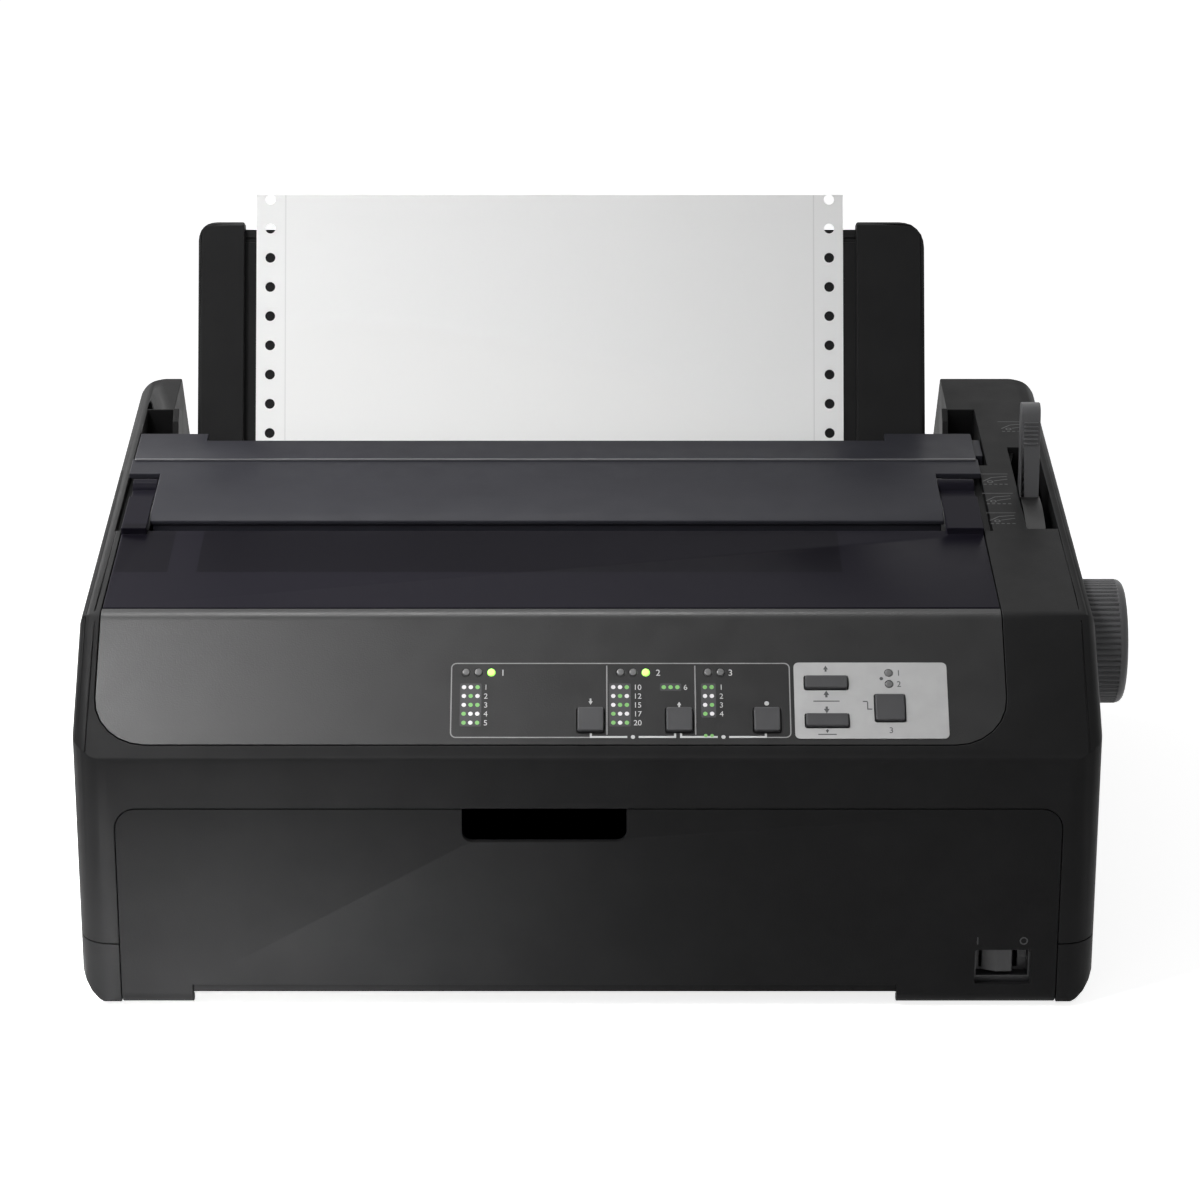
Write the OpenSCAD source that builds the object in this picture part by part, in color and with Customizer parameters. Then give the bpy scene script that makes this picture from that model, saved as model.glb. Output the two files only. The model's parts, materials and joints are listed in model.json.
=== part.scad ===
// Dot matrix printer: casings, covers, control panel, print mechanism, paper feed, tractors and electronics.
// Millimetres. +X right, +Y to the back, +Z up. The modules draw with Y = 0 on the front face and Z = 0 a
// little above the feet, and place() moves each piece so that the origin lies under the middle of the whole printer.

/* [Casing] */
// Width of the casing
body_w = 394; // [380:1:410]
// Depth of the casing
body_d = 350; // [345:1:365]
// Height of the rear shoulders
body_h = 169; // [167:0.5:172]
// Wall thickness of the casing shells
wall = 2.5; // [2:0.1:3]
// Plan radius of the two front corners
front_corner_r = 14; // [8:1:15]
// Plan radius of the two rear corners
rear_corner_r = 18; // [10:1:20]
// Radius of the long edges under the sides
side_edge_r = 15; // [8:1:18]
// Height of the joint between lower and upper case
seam_z = 25; // [24:0.5:27]
// Depth of the front edge under the control panel below the rear shoulders
panel_drop = 68; // [66:0.5:70]
// Slope of the control panel
panel_tilt = 42.6; // [40:0.1:45]
// Slope of the top of the casing
top_tilt = 6; // [5:0.1:7]
// Distance from the front to the rear edge of the shoulders
shoulder_y = 286; // [284:1:292]
// Depth of the knee in the rear wall below the rear shoulders
rear_knee_drop = 87; // [75:1:95]
// Radius of the outer edges down the rear slope
rear_edge_r = 14; // [8:1:16]
// Free space between neighbouring pieces
gap = 0.3; // [0.2:0.05:0.4]
// Radial clearance of turning shafts
shaft_clear = 0.06; // [0.03:0.01:0.1]

/* [Base] */
// How far the feet reach below the zero height
foot_drop = 2.2; // [1.8:0.1:2.4]
// Height of the raised underside between the skids
belly_z = 4.3; // [3.8:0.1:5]
// Left edge of the raised underside
belly_x0 = -153; // [-160:1:-140]
// Right edge of the raised underside
belly_x1 = 120; // [110:1:130]
// Height of the skids above the table
skid_z = 1; // [0.6:0.1:1.5]
// Radius of a rubber foot
foot_r = 8; // [6:0.5:10]

/* [Top opening] */
// Left edge of the window cover and of the control panel
cover_x0 = -188.5; // [-189.5:0.1:-187.5]
// Right edge of the window cover and of the control panel
cover_x1 = 160.4; // [159:0.1:161.5]
// Left edge of the rear cover
hood_x0 = -191; // [-192:0.1:-190.5]
// Right edge of the rear cover
hood_x1 = 164; // [163:0.1:164.5]
// Inner edge of the left shoulder behind the covers
shoulder_x0 = -179.5; // [-181:0.1:-179]
// Inner edge of the right shoulder behind the covers
shoulder_x1 = 156.2; // [155.5:0.1:157.5]
// Width of each hinge pocket
pocket_w = 11.8; // [11:0.1:12.5]
// Rear wall of the hinge pockets
pocket_y = 250; // [248:0.5:253]
// Front end of the hinge pockets
pocket_front_y = 190; // [186:0.5:195]

/* [Covers] */
// Thickness of the covers
cover_t = 2.3; // [2:0.1:2.6]
// Front edge of the window cover
window_y0 = 52.3; // [51.5:0.1:54]
// Rear edge of the window cover
window_y1 = 124; // [121:0.5:126]
// Front edge of the rear cover
hood_y0 = 131; // [129:0.5:134]
// Ridge of the rear cover
hood_ridge_y = 189.5; // [188:0.5:194]
// Rear edge of the rear cover
hood_y1 = 215; // [212:0.5:216]
// How far the hinge corners of the rear cover reach behind that edge
hood_ear = 7.7; // [6:0.1:8.5]
// How much the rear cover stands above the window
hood_rise = 3; // [2:0.1:3.5]
// Width of the left hinge ear of the window cover
left_ear_w = 10.2; // [10:0.1:12]
// Width of the right hinge ear of the window cover
right_ear_w = 15; // [12:0.1:16]
// Front face of the hinge ears
ear_y0 = 119.6; // [117:0.2:121]
// Hinge line of the window cover, from the front
knuckle_y = 168; // [165:0.5:172]
// Radius of the window hinge barrels
knuckle_r = 5; // [4.5:0.1:5.2]
// Hinge line of the rear cover, from the front
hood_hinge_y = 216; // [213:0.5:217]
// Depth of that hinge line below the rear shoulders
hood_hinge_drop = 18; // [17:0.5:19]
// Radius of the cover hinge pins
hinge_pin_r = 2; // [1.5:0.1:2.2]

/* [Front cover] */
// Left edge of the front cover
door_x0 = -180.5; // [-181.5:0.1:-179.5]
// Right edge of the front cover
door_x1 = 181.5; // [180.5:0.1:182]
// Height of its top edge
door_z1 = 81.2; // [79:0.1:83]
// Height of its lower edge in the middle
door_z0 = 7.8; // [7:0.1:8.4]
// Radius of its top corners
door_corner_r = 8; // [5:0.5:12]
// Distance of its hinge line from the front, which is the radius of its rounded lower edge
door_hinge_y = 6; // [5.8:0.1:6.2]
// Left end of the finger grip
grip_x0 = -48; // [-52:0.5:-44]
// Right end of the finger grip
grip_x1 = 15; // [11:0.5:19]
// Height of the finger grip
grip_h = 13.4; // [11:0.1:15]
// Depth of the finger grip
grip_d = 9; // [7:0.5:12]
// Left edge of the switch window
switch_x0 = 149.9; // [149:0.1:151]
// Right edge of the switch window
switch_x1 = 171.5; // [170:0.1:172]
// Lower edge of the switch window
switch_z0 = 8.1; // [8:0.1:8.6]
// Upper edge of the switch window
switch_z1 = 22.5; // [22:0.1:22.9]

/* [Control panel] */
// Radius of the lower corners of the panel
panel_corner_r = 20; // [14:1:24]
// Distance of the panel from the front edge, up the slope
panel_s0 = 7.1; // [6:0.1:8]
// Width and height of the square buttons
button_a = 10; // [9:0.1:10.5]
// Width of the long buttons
long_button_w = 16.3; // [14:0.1:17]
// Height of the long buttons
long_button_h = 5.4; // [4.5:0.1:6]
// Width of the pause button
pause_a = 11.2; // [10:0.1:12]
// How far the buttons stand out
button_rise = 1.8; // [1.4:0.1:2.2]
// Travel of the buttons
button_travel = 1; // [0.6:0.1:1.2]
// Radius of the lamp lenses
lamp_r = 1.5; // [1.2:0.1:1.7]
// Left edge of the pale label
label_x0 = 79.2; // [78.5:0.1:80]
// Right edge of the pale label
label_x1 = 138; // [130:0.5:142]
// Thickness of the pale label
label_t = 0.3; // [0.2:0.05:0.4]

/* [Knob and levers] */
// Distance of the knob's axis from the front
knob_y = 95; // [92:0.5:97]
// Height of the knob's axis
knob_z = 115; // [112:0.5:117]
// Radius of the knob
knob_r = 25; // [22:0.5:26]
// How far the knob stands out of the side
knob_out = 17.2; // [16:0.1:20]
// Number of ribs round the knob
knob_ribs = 66; // [50:2:72]
// Width of the release lever
lever_w = 7.7; // [7:0.1:8]
// Middle of the lever slot, from the casing's middle
slot_x = 184.7; // [184:0.1:185]
// Distance of the lever's pivot from the front
lever_pivot_y = 158; // [156:1:162]
// Lean of the lever from upright
lever_lean = 5; // [3:0.5:6]
// Height of the lever's pivot
lever_pivot_z = 95; // [90:1:100]
// Height of the lever above the shoulder
lever_rise = 36; // [30:1:38]
// Front end of the lever slot
slot_y0 = 126; // [122:1:128]
// Rear end of the lever slot
slot_y1 = 208.7; // [206:0.1:212]
// Width of the lever slot
slot_w = 12.6; // [11.5:0.1:13]

/* [Paper guide] */
// Lean of the paper guide from upright
guide_lean = 22.5; // [20:0.5:24]
// Left edge of the left edge guide
guide_x0 = -168.3; // [-170:0.1:-167]
// Right edge of the right edge guide
guide_x1 = 145.8; // [144:0.1:147]
// Width of the left edge guide
left_guide_w = 20; // [16:0.5:22]
// Width of the right edge guide
right_guide_w = 29.5; // [26:0.5:31]
// Height of the edge guides above the foot of the paper plane
guide_up = 95; // [86:1:100]
// Thickness of the edge guides
guide_bar_t = 8.5; // [7:0.1:9]
// Thickness of the guide plate
guide_plate_t = 2.5; // [2:0.1:3]
// Radius of the guide's pivots
guide_pivot_r = 3; // [2.5:0.1:3.5]

/* [Paper] */
// Width of the fanfold paper
paper_w = 254; // [240:0.5:256]
// Left edge of the paper
paper_x0 = -143.3; // [-144:0.1:-136]
// Thickness of the paper's solid
paper_t = 0.3; // [0.2:0.05:0.4]
// Pitch of the sprocket holes
hole_pitch = 12.7; // [12:0.1:13]
// Radius of the sprocket holes
hole_r = 2.15; // [1.8:0.05:2.3]
// Distance of the hole rows from the paper's edges
hole_margin = 6; // [5:0.1:7]
// Height of the paper above the foot of its plane
paper_up = 107; // [90:1:110]
// Length of one fanfold form
form_l = 304.8; // [290:0.2:306]
// Distance of the guide plane's foot from the front
foot_y = 236; // [235:0.5:238]
// Depth of the guide plane's foot below the rear shoulders
foot_under = 13.7; // [13:0.1:15]
// Radius of the bend in the paper under the rear cover
bend_r = 30; // [24:1:32]

/* [Mechanism] */
// Left side frame, outer face
frame_x0 = -166; // [-168:0.5:-165]
// Right side frame, outer face
frame_x1 = 137.5; // [137:0.5:139]
// Thickness of the steel frames
frame_t = 1.5; // [1.2:0.1:2]
// Radius of the platen
platen_r = 15; // [13:0.5:16]
// Radius of the platen's shaft
platen_shaft_r = 4; // [3:0.5:5]
// Tooth size of the feed gears
gear_module = 1.5; // [1.45:0.05:1.5]
// Direction from the knob down to the platen
feed_angle = 35; // [34:0.5:36]
// Width of the feed gears
gear_w = 6; // [4:0.5:7]
// Radius of the carriage rail
rail_r = 5; // [4:0.5:6]
// Distance of the carriage rail from the front
rail_y = 88; // [86:0.5:89]
// Height of the carriage rail
rail_z = 70; // [69:0.5:71]
// Width of the carriage
carriage_w = 40; // [34:1:42]
// Parked place of the carriage
carriage_x = -100; // [-110:1:-90]
// Width of the print head
head_w = 30; // [24:1:32]
// Radius of the belt pulleys
pulley_r = 8; // [7:0.5:9]
// Radius of the pressure rollers
pinch_r = 6; // [5:0.5:7]

/* [Tractors] */
// Width of a tractor
tractor_w = 17; // [15:0.5:19]
// Length of a tractor
tractor_l = 64; // [58:1:66]
// Side of the square drive shaft
drive_a = 6; // [5:0.5:7]
// Radius of the tractor's support shaft
support_r = 3; // [2.5:0.5:4]
// Distance of the tractors' drive shaft from the front
drive_y = 215; // [214:0.5:216]
// Height of the drive shaft
drive_z = 66; // [65:0.5:67]
// Height of the bay floor under the tractors
bay_z = 46; // [44:0.5:48]

/* [Electronics] */
// Thickness of the circuit boards
board_t = 1.6; // [1.2:0.1:2]
// Width of the main board
board_w = 170; // [150:5:180]
// Depth of the main board
board_d = 78; // [70:1:80]
// Height of the rear boards above the case floor
board_post = 5; // [4:0.5:7]
// Depth of the panel board under the panel
panel_board_s = 9; // [8:0.5:10]

/* [Hidden] */
$fn = 64;
far = 500;
sliver = 0.01;
skid_bottom = skid_z - foot_drop;
panel_edge_z = body_h - panel_drop;
rear_knee_z = body_h - rear_knee_drop;
hood_hinge_z = body_h - hood_hinge_drop;
foot_z = body_h - foot_under;
door_hinge_z = skid_bottom + door_hinge_y;

// ---- points and lines ----
function heading(a) = [cos(a), sin(a)];
function left_of(a) = [-sin(a), cos(a)];
function cross2(u, v) = u[0] * v[1] - u[1] * v[0];
// Where the line through p at angle a meets the line through q at angle b
function meet(p, a, q, b) = p + heading(a) * cross2(q - p, heading(b)) / cross2(heading(a), heading(b));
// An arc that rounds corner c, where the outline turns left from angle a to angle b
function rounded(c, a, b, r, n = 6) =
  let (turn = (b - a + 360) % 360, m = c - heading(a) * r * tan(turn / 2) + left_of(a) * r)
  [for (i = [0:n]) m + r * heading(a - 90 + turn * i / n)];
// Height of the shoulders at a distance y from the front
function top_z(y) = body_h - (shoulder_y - y) * tan(top_tilt);
// Distance up the slope for a distance y from the front
function slope_s(y) = y / cos(panel_tilt);

// Side outline of the casing, d inside its outer face: each line is a point, an angle and the radius after it
rear_tilt = atan2(body_h - rear_knee_z, shoulder_y - body_d);
CASE_LINES = [
  [[0, skid_bottom], 0, 5],
  [[body_d, 0], 90, 14],
  [[body_d, rear_knee_z], rear_tilt, 2.5],
  [[shoulder_y, body_h], 180 + top_tilt, 9],
  [[0, panel_edge_z], 180 + panel_tilt, 3.5],
  [[0, 0], 270, 4]
];
function case_outline(d) = [
  for (i = [0:len(CASE_LINES) - 1])
    let (
      l = CASE_LINES[i],
      m = CASE_LINES[(i + 1) % len(CASE_LINES)],
      c = meet(l[0] + d * left_of(l[1]), l[1], m[0] + d * left_of(m[1]), m[1])
    )
    each rounded(c, l[1], m[1], max(l[2] - d, 0.4))
];

module place() { translate([-knob_out / 2, -body_d / 2, foot_drop]) children(); }
// Extrudes a side outline, drawn as [y, z], from x0 to x1
module along_x(x0, x1) { translate([x0, 0, 0]) rotate([90, 0, 90]) linear_extrude(x1 - x0) children(); }
module block(x0, x1, y0, y1, z0, z1) { translate([x0, y0, z0]) cube([x1 - x0, y1 - y0, z1 - z0]); }
module rod(x0, x1, y, z, r, bore = 0) {
  translate([x0, y, z]) rotate([0, 90, 0])
    difference() {
      cylinder(h = x1 - x0, r = r);
      if (bore > 0) translate([0, 0, -1]) cylinder(h = x1 - x0 + 2, r = bore);
    }
}
module round_rect(x0, x1, y0, y1, r) {
  polygon([
    each rounded([x1, y0], 0, 90, r),
    each rounded([x1, y1], 90, 180, r),
    each rounded([x0, y1], 180, 270, r),
    each rounded([x0, y0], 270, 360, r)
  ]);
}
// Stands a flat outline, drawn as [x, z], in the front face from y0 to y1
module along_y(y0, y1) { translate([0, y1, 0]) rotate([90, 0, 0]) linear_extrude(y1 - y0) children(); }
// Puts a flat outline, drawn as [x, s], in the slope of the control panel, from d0 to d1 under its face
module in_slope(d0, d1) {
  translate([0, 0, panel_edge_z]) rotate([panel_tilt, 0, 0]) translate([0, 0, -d1]) linear_extrude(d1 - d0)
    children();
}

// ---- casing ----
half_w = body_w / 2;
case_round = 6;
// Rounds the casing's outer edges with radius r, along a line of length l that rises at angle a
module edge_rounding(y0, z0, a, l, r, d = 0) {
  for (side = [-1, 1])
    translate([side * (half_w - r), y0, z0]) rotate([a, 0, 0]) translate([0, 0, -r]) rotate([-90, 0, 0])
      difference() {
        translate([side < 0 ? -r - 1 : 0, -r - 1, 0]) cube([r + 1, r + 1, l]);
        translate([0, 0, -1]) cylinder(h = l + 2, r = r - 0.9 * d);
      }
}
module case_solid(d) {
  difference() {
    intersection() {
      along_x(-half_w + d, half_w - d) polygon(case_outline(d));
      linear_extrude(far)
        polygon([
          each rounded([half_w - d, d], 0, 90, front_corner_r - d),
          each rounded([half_w - d, body_d - d], 90, 180, rear_corner_r - d),
          each rounded([-half_w + d, body_d - d], 180, 270, rear_corner_r - d),
          each rounded([-half_w + d, d], 270, 360, front_corner_r - d)
        ]);
      along_y(-1, body_d + 1)
        round_rect(-half_w + d, half_w - d, skid_bottom + d, far / 2, side_edge_r - d);
    }
    if (d == 0) {
      edge_rounding(0, top_z(0), top_tilt, body_d, case_round);
      edge_rounding(-20 * cos(panel_tilt), panel_edge_z - 20 * sin(panel_tilt), panel_tilt, 105, case_round);
    }
    edge_rounding(shoulder_y + 30 * cos(rear_tilt), body_h + 30 * sin(rear_tilt), rear_tilt - 180,
      norm([body_d - shoulder_y, rear_knee_drop]) + 60, rear_edge_r, d);
  }
}
module case_shell(z0, z1) {
  intersection() {
    difference() {
      case_solid(0);
      case_solid(wall);
    }
    block(-far, far, -far, far, z0, z1);
  }
}

// Where the opening for the covers starts and the recess for the control panel ends
panel_end_y = window_y0 - 1;
panel_t = cover_t;
tray_t = 1.8;
tray_lip = 7;
// The layer between two depths under the casing's outer face
module skin(d0, d1) {
  difference() {
    along_x(-half_w + 2, half_w - 2) polygon(case_outline(d0));
    along_x(-half_w, half_w) polygon(case_outline(d1));
  }
}
module panel_plan(m) {
  round_rect(cover_x0 - m, cover_x1 + m, panel_s0 - m, far / 2, panel_corner_r + m);
}
module panel_prism(m) {
  intersection() {
    in_slope(-40, 40) panel_plan(m);
    block(-far, far, 0, panel_end_y + m, 80, far);
  }
}

front_frame_y = 12.5;
front_slot_z0 = 34;
front_slot_z1 = 60;
module door_plan(m) {
  round_rect(door_x0 - m, door_x1 + m, -door_corner_r - 10, door_z1 + m, door_corner_r + m);
}
// Space that the front cover's rounded lower edge turns in
module door_sweep() {
  rod(door_x0 - gap, door_x1 + gap, door_hinge_y, door_hinge_z, door_hinge_y + gap);
  block(door_x0 - gap, door_x1 + gap, -1, door_hinge_y, -5, door_hinge_z + door_hinge_y);
}
door_pin_r = 1.8;
door_pin_l = 3.5;
module door_pin_bores() {
  rod(door_x0 - door_pin_l - 1, door_x0 + 1, door_hinge_y, door_hinge_z, door_pin_r + shaft_clear);
  rod(door_x1 - 1, door_x1 + door_pin_l + 1, door_hinge_y, door_hinge_z, door_pin_r + shaft_clear);
}
module door_bosses(d) {
  intersection() {
    case_solid(d);
    union() {
      block(door_x0 - 8, door_x0 - gap, 0, door_hinge_y + 6, -5, seam_z - 6);
      block(door_x1 + gap, door_x1 + 8, 0, door_hinge_y + 6, -5, seam_z - 6);
    }
  }
}

belly_floor = belly_z + wall;
base_top = 20;
foot_recess = 0.8;
FEET = [
  [-half_w + 32, 34], [half_w - 32, 34],
  [-half_w + 32, body_d - 34], [half_w - 32, body_d - 34]
];
// The two rear screws, at the back, and the two front ones, behind the front cover
screw_r = 2;
screw_head_r = 3.6;
SCREWS = [[-half_w + 22, body_d - 60], [half_w - 22, body_d - 60], [-half_w + 22, 70], [half_w - 22, 70]];
screw_seat_z = 11;
frame_post_x = [-150, -60, 30, 120];
frame_post_y = [62, 188];
board_x0 = -20;
board_y1 = body_d - wall - 2;
board_y0 = board_y1 - board_d;
board_z = belly_floor + board_post;
supply_x0 = -145;
supply_w = 110;
module case_posts() {
  for (x = frame_post_x, y = frame_post_y)
    translate([x, y, belly_floor - 1]) cylinder(h = base_top - belly_floor + 1, r = 5);
  for (x = [board_x0 + 8, board_x0 + board_w - 60], y = [board_y0 + 7, board_y1 - 7])
    translate([x, y, belly_floor - 1]) cylinder(h = board_z - belly_floor + 1, r = 4);
  for (x = [supply_x0 + 8, supply_x0 + supply_w - 8], y = [board_y0 + 7, board_y1 - 7])
    translate([x, y, belly_floor - 1]) cylinder(h = board_z - belly_floor + 1, r = 4);
  for (p = SCREWS)
    translate([p[0], p[1], 0]) cylinder(h = seam_z - gap, r = 7);
}
switch_y = 3.4;
switch_d = 22;
inlet_x = -118;
inlet_w = 28;
inlet_h = 22;
inlet_z = board_z + board_t + inlet_h / 2;
port_z = board_z + board_t;
module rear_openings(m) {
  block(inlet_x - inlet_w / 2 - m, inlet_x + inlet_w / 2 + m, body_d - 15, body_d + 1,
    inlet_z - inlet_h / 2 - m, inlet_z + inlet_h / 2 + m);
  block(port_x0 - m, port_x0 + port_w + m, body_d - 15, body_d + 1, port_z - 0.5 - m, port_z + 14 + m);
  block(usb_x - 7 - m, usb_x + 7 + m, body_d - 15, body_d + 1, port_z - 0.5 - m, port_z + 13 + m);
}
port_x0 = 30;
port_w = 62;
usb_x = 8;

module lower_case() {
  color("#2b2b2d") place()
    difference() {
      union() {
        difference() {
          intersection() {
            case_solid(0);
            block(-far, far, -far, far, -far, seam_z - gap / 2);
          }
          difference() {
            case_solid(wall);
            block(belly_x0 - wall, belly_x1 + wall, -far, far, -5, belly_floor);
            door_bosses(0);
            block(switch_x0 - 3, switch_x1 + 3, 0, switch_y + switch_d + 3, -5, housing_z0 - 0.05);
          }
        }
        intersection() {
          case_solid(1);
          case_posts();
        }
      }
      block(belly_x0, belly_x1, -1, body_d + 1, -5, belly_z);
      along_y(-1, wall + gap) door_plan(gap);
      door_sweep();
      door_pin_bores();
      rear_openings(gap);
      for (p = SCREWS) translate([p[0], p[1], 0]) {
        cylinder_up(-5, screw_seat_z, screw_head_r + gap);
        cylinder(h = far, r = screw_r + shaft_clear);
      }
      for (p = FEET) translate([p[0], p[1], 0]) cylinder_up(-5, skid_bottom + foot_recess, foot_r + 0.1);
    }
}

module rubber_feet() {
  color("#1a1a1a") place()
    for (p = FEET) translate([p[0], p[1], 0]) cylinder_up(-foot_drop, skid_bottom + foot_recess, foot_r);
}

module case_screws() {
  color("#9a9a9a") place()
    for (p = SCREWS) translate([p[0], p[1], 0])
      difference() {
        union() {
          translate([0, 0, screw_seat_z - 2.4]) cylinder(h = 2.4, r = screw_head_r);
          cylinder_up(screw_seat_z, seam_z + 8, screw_r);
        }
        for (a = [0, 90]) translate([0, 0, screw_seat_z - 2.6]) rotate([0, 0, a])
          translate([-2.2, -0.45, 0]) cube([4.4, 0.9, 1.4]);
      }
}
module cylinder_up(z0, z1, r) { translate([0, 0, z0]) cylinder(h = z1 - z0, r = r); }

// ---- upper case ----
// A slab parallel to the top of the casing, between depths d0 and d1 under it
module top_slab(x0, x1, y0, y1, d0, d1) {
  along_x(x0, x1)
    polygon([[y0, top_z(y0) - d1], [y1, top_z(y1) - d1], [y1, top_z(y1) - d0], [y0, top_z(y0) - d0]]);
}
ledge_w = 4;
ledge_d = 8;
bay_y0 = 206;
pocket_z = 136;
pocket_x0 = [shoulder_x0 - pocket_w + 0.3, shoulder_x1];
hinge_wall = 8;
knuckle_z = top_z(knuckle_y) + hood_rise - knuckle_r;
pivot_n = -3.5;
pivot_w = -12;
// Point in the paper guide's plane: w up the plane from its foot, n in front of it
function guide_at(w, n) =
  [foot_y, foot_z] + w * heading(90 - guide_lean) + n * left_of(90 - guide_lean);
guide_pivot = guide_at(pivot_w, pivot_n);
knob_hole_r = 6;
slot_rim = 2;
slot_depth = 12;
lever_x = slot_x - slot_w / 2 + lever_w / 2 + 0.4;
// The lever's shield runs this far from its pivot, just under the shoulder
shield_r = (top_z(lever_pivot_y) - lever_pivot_z) * cos(top_tilt) - 0.5;

module ledges() {
  for (x = [[-half_w + 1, cover_x0 + ledge_w + 1], [cover_x1 - ledge_w - 1, cover_x1 + 6]])
    top_slab(x[0], x[1], window_y0 - 5, pocket_front_y - 2, 1.2, ledge_d);
  skin_bar(window_y0 - 6, window_y0 + ledge_w + 1);
}
// The bar across the casing that the panel's upper edge and the window's front edge rest on
module skin_bar(y0, y1) {
  intersection() {
    skin(1.4, panel_t + gap + tray_t);
    block(cover_x0 - 3, cover_x1 + 3, y0, y1, 80, far);
  }
}
module panel_tray() {
  difference() {
    intersection() {
      skin(1.1, panel_t + gap + tray_t);
      block(cover_x0 - 3, cover_x1 + 3, 1, panel_end_y, panel_edge_z - 8, far);
    }
    in_slope(-20, 40)
      round_rect(cover_x0 + tray_lip, cover_x1 - tray_lip, panel_s0 + 3, slope_s(window_y0 - 8), 4);
  }
}
module pocket_blocks() {
  intersection() {
    case_solid(0);
    union() {
      block(-half_w + 1, shoulder_x0 + 1, pocket_front_y - 5, pocket_y + 5, pocket_z - wall, far);
      block(shoulder_x1 - 1, shoulder_x1 + pocket_w + hinge_wall, pocket_front_y - 5, pocket_y + 5,
        pocket_z - wall, far);
    }
  }
}
module pockets() {
  for (x = pocket_x0)
    block(x == shoulder_x1 ? x - 2 : x, x == shoulder_x1 ? x + pocket_w : shoulder_x0 + 2,
      pocket_front_y, pocket_y, pocket_z, far);
}
module shoulder_walls() {
  intersection() {
    case_solid(0);
    union() {
      block(shoulder_x0 - wall, shoulder_x0 + 1, pocket_front_y - 4, far, bay_z - wall, far);
      block(shoulder_x1 - 1, shoulder_x1 + wall, pocket_front_y - 4, far, bay_z - wall, far);
      block(shoulder_x0 - 1, shoulder_x1 + 1, bay_y0, far, bay_z - wall, bay_z + 1);
    }
  }
}
module front_frame() {
  difference() {
    union() {
      block(door_x0 - 3, door_x1 + 3, front_frame_y, front_frame_y + 2, seam_z + gap / 2, door_z1 + 4);
      block(door_x0 - 3, door_x1 + 3, 1, front_frame_y + 1, door_z1 + 1.2, door_z1 + 3.2);
      for (x = [door_x0 - 3, door_x1 + 1])
        block(x, x + 2, 1, front_frame_y + 1, seam_z + gap / 2, door_z1 + 3);
    }
    block(belly_x0 + 4, belly_x1 + 4, 0, 30, front_slot_z0, front_slot_z1);
    block(switch_x0 - 4, switch_x1 + 4, 0, 30, 0, seam_z + 4);
  }
}
module slot_box() {
  difference() {
    top_slab(slot_x - slot_w / 2 - slot_rim, slot_x + slot_w / 2 + slot_rim,
      slot_y0 - slot_rim, slot_y1 + slot_rim, 1.2, slot_depth);
    rod(slot_x - slot_w / 2, slot_x + slot_w / 2, lever_pivot_y, lever_pivot_z, shield_r + 2 * gap);
  }
}
lever_boss_x = lever_x + lever_w / 2 + gap;
lever_pin_r = 3;
module lever_boss() {
  rod(lever_boss_x, half_w - 1, lever_pivot_y, lever_pivot_z, 8);
  rod(lever_x - lever_w / 2 - 0.5, lever_boss_x + 1, lever_pivot_y, lever_pivot_z, lever_pin_r);
}
module case_bosses() {
  for (p = SCREWS) {
    translate([p[0], p[1], seam_z + gap / 2]) cylinder(h = bay_z - seam_z - 1, r = 7);
    block(p[0] < 0 ? -half_w + 1 : p[0], p[0] < 0 ? p[0] : half_w - 1, p[1] - 1.5, p[1] + 1.5,
      seam_z + gap / 2, bay_z - 1);
  }
}

module upper_case() {
  color("#2b2b2d") place()
    difference() {
      union() {
        case_shell(seam_z + gap / 2, far);
        intersection() {
          case_solid(0.5);
          union() {
            difference() {
              ledges();
              block(-far, far, pocket_front_y - 2, far, 0, far);
            }
            panel_tray();
            slot_box();
            case_bosses();
            front_frame();
            lever_boss();
          }
        }
        pocket_blocks();
        shoulder_walls();
      }
      // the recess of the control panel, and the openings under the covers
      intersection() {
        union() {
          panel_prism(gap);
          block(cover_x0 - gap, cover_x1 + gap, panel_end_y - 5, hood_y0, 80, far);
        }
        skin(-30, panel_t + gap);
      }
      top_slab(hood_x0 - gap, hood_x1 + gap, hood_y0 - 7, hood_y1 + hood_ear + 1, -31, cover_t + 2 * gap);
      top_slab(cover_x0 + ledge_w, cover_x1 - ledge_w, window_y0 + ledge_w, pocket_front_y, -30, 30);
      block(shoulder_x0, shoulder_x1, pocket_front_y - 10, body_d - wall - gap, bay_z, far);
      block(shoulder_x0, shoulder_x1, bay_y0 + 1, far, rear_knee_z, far);
      pockets();
      rod(hood_x0 - 3.8, hood_x0 + 1, hood_hinge_y, hood_hinge_z, hinge_pin_r + shaft_clear);
      rod(shoulder_x1 + pocket_w - 1, shoulder_x1 + pocket_w + 4.5, hood_hinge_y, hood_hinge_z,
        hinge_pin_r + shaft_clear);
      rod(cover_x0 - gap, cover_x0 + left_ear_w + 1, knuckle_y, knuckle_z, knuckle_r + 0.5);
      rod(cover_x1 - right_ear_w - 1, cover_x1 + gap, knuckle_y, knuckle_z, knuckle_r + 0.5);
      // the lever slot, the knob's hole and the guide's pivots
      top_slab(slot_x - slot_w / 2, slot_x + slot_w / 2, slot_y0, slot_y1, -30, 30);
      rod(half_w - 10, half_w + 1, knob_y, knob_z, knob_hole_r);
      rod(shoulder_x0 - wall - 1, shoulder_x1 + wall + 1, guide_pivot[0], guide_pivot[1],
        guide_pivot_r + shaft_clear);
      // the front cover with its hinge, the rear sockets and the screws
      along_y(-1, wall + gap) door_plan(gap);
      door_sweep();
      rear_openings(gap);
      for (p = SCREWS) translate([p[0], p[1], 0]) cylinder(h = seam_z + 10, r = screw_r + shaft_clear);
    }
}

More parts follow.
